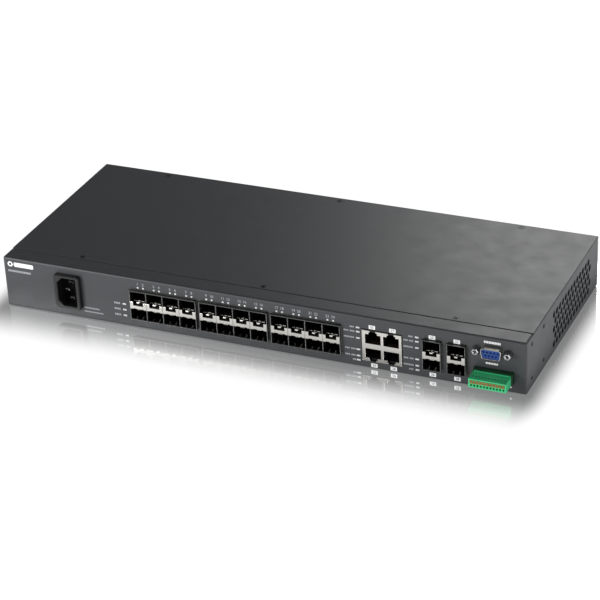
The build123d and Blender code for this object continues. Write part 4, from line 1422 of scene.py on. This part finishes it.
# ---------------------------------------------------------------- alarm terminals
@dataclass
class Terminals:
    """The eleven-way header, its plug and the plug's release buttons."""

    frame: Frame
    wall: float = 0.9
    pitch: float = 2.5
    ways: int = 11
    wire_radius: float = 0.85
    wire_z: float = 10.75
    button_slack: float = 0.12
    test_radius: float = 0.85
    test_depth: float = 0.7
    test_inset: float = 4.9
    nose_depth: float = 8.0

    def way_places(self) -> list[float]:
        """The middle of each way, from left to right."""
        low, high = self.frame.box("terminal_header")
        middle = (low.x + high.x) / 2
        return [middle + (number - (self.ways - 1) / 2) * self.pitch for number in range(self.ways)]

    def build(self) -> None:
        """Build the header, the plug and the buttons."""
        self.build_header()
        self.build_plug()
        for number, x in enumerate(self.way_places(), 1):
            self.build_button(f"{number:02d}", x)

    def build_header(self) -> None:
        """Build the header's shroud, open to the front."""
        low, high = self.frame.box("terminal_header")
        # The shroud's dark green is painted shade, for the shade behind the plug.
        shape = Builder(GREEN_PAINTED_SHADE)
        wall = self.wall
        pocket = rectangle(low.x + wall, high.x - wall, low.z + wall, high.z - wall, 0.2)
        outline = rectangle(low.x, high.x, low.z, high.z, 0.3)
        shape.plate(facing_front(low.y), outline, high.y - low.y - 2.5, [Hole(pocket, 0.3)], 0.2)
        shape.block((low.x, high.y - 2.5, low.z), (high.x, high.y, high.z), 0.1)
        shape.finish("terminal_shroud", CASE_BODY, "dark_green_plastic", "terminal_header")

    def build_plug(self) -> None:
        """Build the plug from ways side by side between two end plates."""
        low, high = self.frame.box("terminal_plug")
        header_low, header_high = self.frame.box("terminal_header")
        step = high.y - self.nose_depth
        button_low, button_high = self.frame.box("release_button_01")
        well_half = (button_high.x - button_low.x) / 2 + self.button_slack
        well_z = button_low.z - self.button_slack, button_high.z + self.button_slack
        body_z = self.body_heights()
        roof = body_z[1] - self.test_depth
        shape = Builder(PLUG_GREEN, TIN, GREEN_PAINTED_SHADE)
        holes = []
        ways = self.way_places()
        for x in ways:
            holes.append(Hole(circle(x, self.wire_z, self.wire_radius, 20), 0.3))
            holes.append(Hole(rectangle(x - well_half, x + well_half, *well_z, 0.2), 0.1))
        sides = self.body_sides()
        depth = 9.0
        shape.plate(facing_front(low.y), rectangle(*sides, body_z[0], roof), depth, holes, 0.0)
        shape.block((sides[0], low.y + depth, body_z[0]), (sides[1], step, roof), 0.0)
        for x in ways:
            half = self.pitch / 2
            test = Hole(circle(x, low.y + self.test_inset, self.test_radius, 16), 0.12)
            shape.plate(facing_up(body_z[1]), rectangle(x - half, x + half, low.y, step), self.test_depth,
                        [test], 0.16)
        for x0, x1 in ((sides[0], ways[0] - self.pitch / 2), (ways[-1] + self.pitch / 2, sides[1])):
            shape.block((x0, low.y, roof), (x1, step, body_z[1]), 0.12)
        nose = 0.25 + self.wall
        shape.block((header_low.x + nose, step, header_low.z + nose),
                    (header_high.x - nose, high.y, header_high.z - nose), 0.2)
        # Dark discs halfway down the test holes: painted shade in the holes.
        shape.use(GREEN_PAINTED_SHADE)
        for x in ways:
            well = circle(x, low.y + self.test_inset, self.test_radius + 0.1, 16)
            shape.plate(facing_up(body_z[1] - 0.35), well, 0.06, (), 0.0)
        shape.use(TIN)
        for x in ways:
            shape.plate(facing_front(low.y + 4.0), circle(x, self.wire_z, self.wire_radius - 0.02, 16), 4.0,
                        [Hole(rectangle(x - 0.5, x + 0.5, self.wire_z - 0.5, self.wire_z + 0.5), 0.05)], 0.0)
        shape.finish("terminal_plug_body", PLUG_BODY, "green_plastic", "terminal_plug")

    def body_heights(self) -> Point:
        """The underside and the top of the plug's body, in front of its nose."""
        low, high = self.frame.box("release_button_01")
        middle = (low.z + high.z) / 2
        return middle - 4.75, middle + 2.55

    def body_sides(self) -> Point:
        """The left and the right side of the plug's body."""
        low, high = self.frame.box("terminal_header")
        return low.x + 0.7, high.x - 0.7

    def build_button(self, number: str, x: float) -> None:
        """Build one release button, slotted for a screwdriver.

        Args:
            number: the way's number.
            x: its middle.
        """
        low, high = self.frame.box(f"release_button_{number}")
        shape = Builder(BUTTON_ORANGE)
        middle = (low.z + high.z) / 2
        slot = rectangle(x - 0.5, x + 0.5, middle - 0.3, middle + 0.3, 0.1)
        outline = rectangle(low.x, high.x, low.z, high.z, 0.25)
        shape.plate(facing_front(low.y), outline, 0.5, [Hole(slot, 0.05)], 0.12)
        shape.plate(facing_front(low.y + 0.5), outline, high.y - low.y - 0.5, (), 0.0, 0.15)
        shape.finish(f"button_{number}_cap", f"button_{number}", "orange_plastic", f"release_button_{number}")


# ---------------------------------------------------------------- mains inlet
@dataclass
class Inlet:
    """The three-blade appliance inlet."""

    frame: Frame
    recess: Point = (16.4, 24.4)
    corner: float = 4.6
    depth: float = 17.0
    flange: float = 4.0

    def recess_loop(self, x: float, z: float) -> Loop:
        """The outline of the recess: a rectangle with two cut corners on its earth side.

        Args:
            x: its middle.
            z: its middle height.

        Returns:
            The loop.
        """
        wide, high = self.recess[0] / 2, self.recess[1] / 2
        cut = self.corner
        points = [(x + wide, z - high), (x + wide, z + high), (x + cut - wide, z + high),
                  (x - wide, z + high - cut),
                  (x - wide, z + cut - high), (x + cut - wide, z - high)]
        return round_off(ccw(points), 0.8, 4)

    def build(self) -> None:
        """Build the housing and the blades."""
        low, high = self.frame.box("inlet_housing")
        x, z = (low.x + high.x) / 2, (low.z + high.z) / 2
        shape = Builder(BLACK_PLASTIC)
        loop = self.recess_loop(x, z)
        panel = low.y + self.flange
        outline = rectangle(low.x, high.x, low.z, high.z, 2.2, 6)
        shape.plate(facing_front(low.y), outline, self.flange, [Hole(loop, 0.5)], 0.7)
        body = rectangle(low.x + 1.5, high.x - 1.5, low.z + 1.3, high.z - 1.3, 1.0)
        shape.plate(facing_front(panel), body, self.depth - self.flange, [Hole(loop, 0.0)], 0.0)
        shape.block((low.x + 1.5, low.y + self.depth, low.z + 1.3), (high.x - 1.5, high.y, high.z - 1.3), 0.2)
        for level in (low.z + 1.3, high.z - 1.3):
            shape.block((x - 3.0, panel + 1.4, level - 0.5), (x + 3.0, panel + 6.0, level + 0.5), 0.2)
        shape.finish("inlet_body", CASE_BODY, "black_plastic", "inlet_housing")
        self.build_blades()

    def build_blades(self) -> None:
        """Build the three blades, with rounded tips."""
        shape = Builder(TIN)
        for low, high in self.frame.solids("inlet_blades"):
            x, z = (low.x + high.x) / 2, (low.z + high.z) / 2
            outline = rectangle(low.x, high.x, low.z, high.z, 0.25)
            shape.plate(facing_front(low.y), outline, high.y - low.y - 5.0, (), 0.45)
            tab = rectangle(x - 1.5, x + 1.5, z - 0.4, z + 0.4, 0.1)
            shape.plate(facing_front(high.y - 5.0), tab, 5.0, (), 0.0, 0.1)
        shape.finish("inlet_contacts", CASE_BODY, "tin_contact", "inlet_blades")


# ---------------------------------------------------------------- indicators and printing
@dataclass
class Indicators:
    """The clear light pipes in the panel."""

    frame: Frame

    def build(self) -> None:
        """Build a pipe with a soft-edged window for every indicator."""
        shape = Builder(LIGHT_PIPE)
        for low, high in self.frame.solids("led_light_pipes"):
            outline = rectangle(low.x, high.x, low.z, high.z, 0.2)
            shape.plate(facing_front(low.y), outline, high.y - low.y, (), 0.12)
        shape.finish("indicator_windows", CASE_BODY, "light_pipe", "led_light_pipes")


@dataclass
class Printing:
    """Port numbers and plain bars, screen-printed on the panel."""

    frame: Frame
    ink: float = 0.02
    number_size: float = 2.9
    box_size: Point = (5.2, 3.3)
    tick: float = 1.25
    digit_lift: float = 0.008
    link_digit: float = 3.1
    link_rise: float = 2.4
    row_half: float = 0.65
    console_bars: tuple[Run, ...] = (
        (405.0, 418.2, 38.9, 40.9), (406.3, 416.0, 21.4, 23.0), (425.1, 426.5, 4.2, 5.6))
    badge: Run = (9.6, 27.2, 36.4, 40.2)
    badge_ring: tuple[float, float, float, float] = (6.3, 38.3, 2.3, 1.1)
    plain_bars: tuple[Run, ...] = ((4.0, 24.6, 31.4, 33.2), (70.3, 84.3, 9.6, 10.7), (70.3, 87.3, 6.2, 7.3))
    power_rows: tuple[float, ...] = (19.3, 14.2, 9.1)
    power_run: Point = (97.8, 103.3)
    light_rows: tuple[float, ...] = (33.8, 30.1, 24.7, 14.9, 9.4, 5.7)
    jack_runs: tuple[tuple[Point, ...], ...] = (
        ((298.3, 302.0),), ((293.3, 297.3), (298.3, 302.3)), ((293.3, 301.8),),
        ((294.0, 298.0), (299.0, 303.0)), ((294.0, 298.0), (299.0, 302.5)), ((300.0, 303.0),))
    combo_runs: tuple[tuple[Point, ...], ...] = (
        ((345.5, 349.2),), ((341.5, 345.2), (346.0, 349.5)), ((341.5, 349.2),),
        ((341.5, 345.3), (346.2, 349.5)), ((341.5, 349.5),), ((345.5, 349.2),))

    def bar(self, shape: Builder, x0: float, x1: float, z0: float, z1: float) -> None:
        """Print one row of ticks, with its places along the panel taken from its left end.

        Args:
            shape: the print.
            x0: left side.
            x1: right side.
            z0: underside.
            z1: top.
        """
        low, _ = self.frame.box("base_chassis")
        count = max(round((x1 - x0) / self.tick), 1)
        step = (x1 - x0) / count
        for number in range(count):
            start = low.x + x0 + number * step
            outline = rectangle(start, start + step * 0.78, z0, z1, min(0.2, (z1 - z0) * 0.25), 2)
            shape.plate(facing_front(low.y - self.ink), outline, self.ink, (), 0.0)

    def number(self, shape: Builder, text: str, x: float, z: float, size: float, lift: float) -> None:
        """Print a number.

        Args:
            shape: the print.
            text: its digits.
            x: its middle.
            z: its middle height.
            size: the height of a line of type.
            lift: how far it stands in front of the panel.
        """
        low, _ = self.frame.box("base_chassis")
        curve = bpy.data.curves.new("digits", "FONT")
        curve.body = text
        curve.size = size
        curve.align_x = "CENTER"
        curve.align_y = "CENTER"
        curve.resolution_u = 3
        curve.offset = size * 0.012
        holder = bpy.data.objects.new("digits", curve)
        bpy.context.scene.collection.objects.link(holder)
        bpy.context.view_layer.update()
        flat = bpy.data.meshes.new_from_object(holder.evaluated_get(bpy.context.evaluated_depsgraph_get()))
        bpy.data.objects.remove(holder)
        verts = [shape.mesh.verts.new((x + vertex.co.x, low.y - lift,
                                       z + vertex.co.y)) for vertex in flat.vertices]
        for polygon in flat.polygons:
            shape.face([verts[number] for number in polygon.vertices])
        bpy.data.meshes.remove(flat)

    def build(self) -> None:
        """Print everything on the panel."""
        self.print_white()
        self.print_grey()

    def print_white(self) -> None:
        """Print the numbered boxes, the port numbers and the console's bars."""
        shape = Builder(WHITE_INK, BLACK_INK)
        low, _ = self.frame.box("base_chassis")
        boxes = []
        jack_low, jack_high = self.frame.box("rj45_shield")
        for column, place in enumerate(("25", "27")):
            boxes.append((jack_low.x + 8.3 + column * 16.5, jack_high.z + 2.6, place))
        for column, place in enumerate(("26", "28")):
            boxes.append((jack_low.x + 9.3 + column * 15.7, jack_low.z - 5.2, place))
        for node, upper, lower in (("combo_cage_a", "25", "26"), ("combo_cage_b", "27", "28")):
            cage_low, cage_high = self.frame.box(node)
            middle = (cage_low.x + cage_high.x) / 2
            boxes.append((middle + 0.1, cage_high.z + 2.3, upper))
            boxes.append((middle + 0.2, cage_low.z - 4.3, lower))
        for x, z, text in boxes:
            shape.use(WHITE_INK)
            half = self.box_size[0] / 2
            tall = self.box_size[1] / 2
            outline = rectangle(x - half, x + half, z - tall, z + tall, 0.4)
            shape.plate(facing_front(low.y - self.ink), outline, self.ink, (), 0.0)
            shape.use(BLACK_INK)
            self.number(shape, text, x, z, self.number_size, self.ink + self.digit_lift)
        shape.use(WHITE_INK)
        for bars in self.console_bars:
            self.bar(shape, *bars)
        left, right, bottom, top = self.badge
        badge = rectangle(low.x + left, low.x + right, bottom, top, 1.0, 4)
        shape.plate(facing_front(low.y - self.ink), badge, self.ink, (), 0.0)
        along, level, outer, inner = self.badge_ring
        shape.plate(facing_front(low.y - self.ink), circle(low.x + along, level, outer, 28), self.ink,
                    [Hole(circle(low.x + along, level, inner, 20), 0.0)], 0.0)
        shape.finish("white_printing", CASE_BODY, "powder_coated_steel")

    def print_grey(self) -> None:
        """Print the port numbers above the link lights, and the plain bars beside the other lights."""
        shape = Builder(GREY_INK)
        links = [(low, high) for low, high in self.frame.solids("led_light_pipes") if low.z > 34.5]
        links = [pair for pair in links if pair[1].x - pair[0].x < 2.0]
        for number, (low, high) in enumerate(sorted(links, key=lambda pair: pair[0].x), 1):
            middle = (low.x + high.x) / 2
            self.number(shape, str(number), middle, high.z + self.link_rise, self.link_digit, self.ink)
        for z in self.power_rows:
            self.bar(shape, *self.power_run, z - 0.8, z + 0.8)
        for rows in (self.jack_runs, self.combo_runs):
            for z, runs in zip(self.light_rows, rows):
                for start, end in runs:
                    self.bar(shape, start, end, z - self.row_half, z + self.row_half)
        for bars in self.plain_bars:
            self.bar(shape, *bars)
        shape.finish("grey_printing", CASE_BODY, "powder_coated_steel")


# ---------------------------------------------------------------- fans and the inside
@dataclass
class Rotors:
    """The two fan rotors, seen through the vents."""

    frame: Frame
    hub: float = 11.0
    blades: int = 7
    twist: float = 1.05

    def build(self) -> None:
        """Build both rotors."""
        for node, body in ROTOR_NODES.items():
            low, high = self.frame.box(node)
            self.build_rotor(node, body, low, high)

    def build_rotor(self, node: str, body: str, low: Vector, high: Vector) -> None:
        """Build one rotor: a hub cup with swept, cambered blades.

        Args:
            node: the CAD node.
            body: its body.
            low: its lowest corner.
            high: its highest corner.
        """
        shape = Builder(FAN_PLASTIC)
        reach = (high.y - low.y) / 2
        centre = Vector((low.x + 0.3, (low.y + high.y) / 2, (low.z + high.z) / 2))
        long = high.x - low.x - 0.3
        hub = self.hub
        profile = ((0, hub - 1.6), (0, hub), (long - 0.8, hub), (long - 0.25, hub - 0.3), (long, hub - 0.9),
                   (long, hub * 0.62), (long - 0.3, hub * 0.58), (long - 0.3, 0))
        shape.lathe(centre, ACROSS, profile, 48)
        shape.lathe(centre, ACROSS, ((0, hub - 1.6), (long - 1.8, hub - 1.6), (long - 1.8, 0)), 48)
        shape.lathe(centre - ACROSS * 0.25, ACROSS, ((0, 0), (0, 1.5), (long - 2.6, 1.5)), 20)
        rows, columns = 6, 9
        for blade in range(self.blades):
            base = math.tau * blade / self.blades
            faces = []
            for side in (-0.45, 0.45):
                sheet = []
                for row in range(rows):
                    share = row / (rows - 1)
                    radius = hub - 0.4 + (reach - hub + 0.3) * share
                    line = []
                    for column in range(columns):
                        along = column / (columns - 1)
                        camber = math.sin(math.pi * along) * 0.1
                        angle = base + (along - 0.5) * self.twist + camber + share * 0.16
                        edge = 0.25 + 0.75 * math.sin(math.pi * min(max(along, 0.06), 0.94)) ** 0.5
                        depth = 0.9 + (long - 1.8) * along
                        turned = angle + side * edge / radius
                        spot = centre + Vector((depth, math.cos(turned) * radius, math.sin(turned) * radius))
                        line.append(shape.mesh.verts.new(spot))
                    sheet.append(line)
                faces.append(sheet)
            self.close_blade(shape, faces)
        shape.finish(node.replace("fan_", "") + "_blades", body, "fan_plastic", node)

    def close_blade(self, shape: Builder, faces: Sequence[Sequence[Sequence[bmesh.types.BMVert]]]) -> None:
        """Join both sides of a blade into a solid.

        Args:
            shape: the rotor.
            faces: rows of vertices of either side.
        """
        first, second = faces
        shape.skin(first, closed=False)
        shape.skin(second, closed=False)
        rim_one = list(first[0]) + [row[-1] for row in first[1:]] + list(first[-1][-2::-1]) \
            + [row[0] for row in first[-2:0:-1]]
        rim_two = list(second[0]) + [row[-1] for row in second[1:]] + list(second[-1][-2::-1]) \
            + [row[0] for row in second[-2:0:-1]]
        shape.skin((rim_one, rim_two))


@dataclass
class Inside:
    """Every CAD node that is shown as it is, dressed by its slot."""

    frame: Frame

    def dress(self) -> None:
        """Give each node that nothing stands for the finish of its slot."""
        finishes = {finish.slot: finish for finish in reversed(CARRIED_FINISHES)}
        for row in self.frame.loaded["record"]["subparts"]:
            node = self.frame.loaded["nodes"][row["node"]]
            node.data.materials.clear()
            node.data.materials.append(finishes[row["material_slot"]].material())
            log.info("%s wears %s", row["node"], finishes[row["material_slot"]].name)


# ---------------------------------------------------------------- studio
@dataclass(frozen=True)
class Softbox:
    """One square light."""

    name: str
    place: tuple[float, float, float]
    aim: tuple[float, float, float]
    size: Point
    watts: float


@dataclass
class Studio:
    """Camera, lights and a glossy white floor."""

    lens: float = 138.2
    sensor: float = 36.0
    place: tuple[float, float, float] = (675.47, -1475.91, 884.57)
    right: tuple[float, float, float] = (0.91814941, 0.39354945, -0.04604874)
    up: tuple[float, float, float] = (-0.15236892, 0.45795477, 0.87582027)
    back: tuple[float, float, float] = (0.36576682, -0.79711747, 0.48043561)
    sky: float = 0.1
    lights: tuple[Softbox, ...] = (
        Softbox("softbox_back_right", (20, 760, 520), (100, 40, 40), (370, 300), 2.6),
        Softbox("softbox_side", (900, -420, 300), (219, -60, 20), (400, 400), 1.9),
        Softbox("softbox_front_left", (-700, -800, 260), (-150, -90, 20), (500, 300), 7.0),
    )

    def build(self) -> None:
        """Set up everything that isn't the object."""
        self.build_camera()
        self.build_lights()
        self.build_floor()

    def build_camera(self) -> None:
        """Place the camera."""
        data = bpy.data.cameras.new("camera")
        data.lens = self.lens
        data.sensor_width = self.sensor
        data.clip_end = 50.0
        camera = bpy.data.objects.new("camera", data)
        bpy.context.scene.collection.objects.link(camera)
        turn = Matrix((self.right, self.up, self.back)).transposed().to_4x4()
        camera.matrix_world = Matrix.Translation(Vector(self.place) * MM) @ turn
        bpy.context.scene.camera = camera

    def build_lights(self) -> None:
        """Hang the softboxes and light the room."""
        world = bpy.data.worlds.new("room")
        world.use_nodes = True
        back = world.node_tree.nodes["Background"]
        back.inputs[0].default_value = (1.0, 1.0, 1.0, 1.0)
        back.inputs[1].default_value = self.sky
        bpy.context.scene.world = world
        bpy.context.scene.view_settings.view_transform = "Standard"
        for light in self.lights:
            data = bpy.data.lights.new(light.name, "AREA")
            data.shape = "RECTANGLE"
            data.size, data.size_y = light.size[0] * MM, light.size[1] * MM
            data.energy = light.watts
            lamp = bpy.data.objects.new(light.name, data)
            bpy.context.scene.collection.objects.link(lamp)
            lamp.location = Vector(light.place) * MM
            toward = (Vector(light.aim) - Vector(light.place)).to_track_quat("-Z", "Y")
            lamp.rotation_euler = toward.to_euler()

    def build_floor(self) -> None:
        """Lay a white floor whose gloss fades away from the object."""
        mesh = bmesh.new()
        side = 6.0
        corners = [mesh.verts.new((x * side, y * side, -0.00005)) for x,
                   y in ((-1, -1), (1, -1), (1, 1), (-1, 1))]
        mesh.faces.new(corners)
        # Low walls far away close the horizon in the low views.
        tops = [mesh.verts.new((corner.co.x, corner.co.y, 1.2)) for corner in corners]
        for number in range(4):
            after = (number + 1) % 4
            mesh.faces.new((corners[after], corners[number], tops[number], tops[after]))
        data = bpy.data.meshes.new("floor")
        mesh.to_mesh(data)
        mesh.free()
        floor = bpy.data.objects.new("floor", data)
        bpy.context.scene.collection.objects.link(floor)
        data.materials.append(self.floor_material())
        floor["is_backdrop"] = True

    def floor_material(self) -> bpy.types.Material:
        """Make the floor's white acrylic.

        Returns:
            The material.
        """
        made = bpy.data.materials.new("white_acrylic")
        made.use_nodes = True
        tree = made.node_tree
        tree.nodes.clear()
        out = add_node(tree, "ShaderNodeOutputMaterial")
        matt = add_node(tree, "ShaderNodeBsdfDiffuse", {"Color": linear("8a8a8a")})
        glow = add_node(tree, "ShaderNodeEmission", {"Color": linear("ffffff"), "Strength": 0.93})
        body = add_node(tree, "ShaderNodeAddShader")
        tree.links.new(matt.outputs[0], body.inputs[0])
        tree.links.new(glow.outputs[0], body.inputs[1])
        gloss = add_node(tree, "ShaderNodeBsdfGlossy", {"Color": linear("ffffff"), "Roughness": 0.07})
        place = add_node(tree, "ShaderNodeTexCoord").outputs["Object"]
        # The gloss is strongest beside the case and has faded out a hand's width away from it.
        sides = add_node(tree, "ShaderNodeVectorMath", {"operation": "ABSOLUTE"}, _0=place).outputs[0]
        beyond = add_node(tree, "ShaderNodeVectorMath", {"operation": "SUBTRACT", 1: (0.219, 0.09, 0.0)},
                          _0=sides)
        clear = add_node(tree, "ShaderNodeVectorMath", {"operation": "MAXIMUM", 1: (0.0, 0.0, 0.0)},
                         _0=beyond.outputs[0])
        # Beside the ends it fades over a shorter way than in front.
        scaled = add_node(tree, "ShaderNodeVectorMath", {"operation": "MULTIPLY", 1: (2.4, 1.0, 1.0)},
                          _0=clear.outputs[0])
        reach = add_node(tree, "ShaderNodeVectorMath", {"operation": "LENGTH"}, _0=scaled.outputs[0])
        fade = add_node(tree, "ShaderNodeMapRange", {
            "interpolation_type": "SMOOTHSTEP", 1: 0.002, 2: 0.052, 3: 0.82, 4: 0.02}, Value=reach.outputs[1])
        mix = add_node(tree, "ShaderNodeMixShader", {}, Fac=fade.outputs[0])
        tree.links.new(body.outputs[0], mix.inputs[1])
        tree.links.new(gloss.outputs[0], mix.inputs[2])
        tree.links.new(mix.outputs[0], out.inputs[0])
        return made


# ---------------------------------------------------------------- everything
def main() -> None:
    """Build every piece round the frame."""
    logging.basicConfig(level=logging.INFO, format="%(message)s")
    for item in list(bpy.data.objects):
        bpy.data.objects.remove(item)
    frame = Frame()
    studio = Studio()
    studio.build()
    Inside(frame).dress()
    Case(frame).build()
    for node in FIBRE_CAGES:
        Cage(frame, node, 4).build()
    for node in COMBO_CAGES:
        Cage(frame, node, 1).build()
    Gaskets(frame).build()
    Jacks(frame).build()
    Console(frame).build()
    Terminals(frame).build()
    Inlet(frame).build()
    Indicators(frame).build()
    Printing(frame).build()
    Rotors(frame).build()


if __name__ == "__main__":
    main()
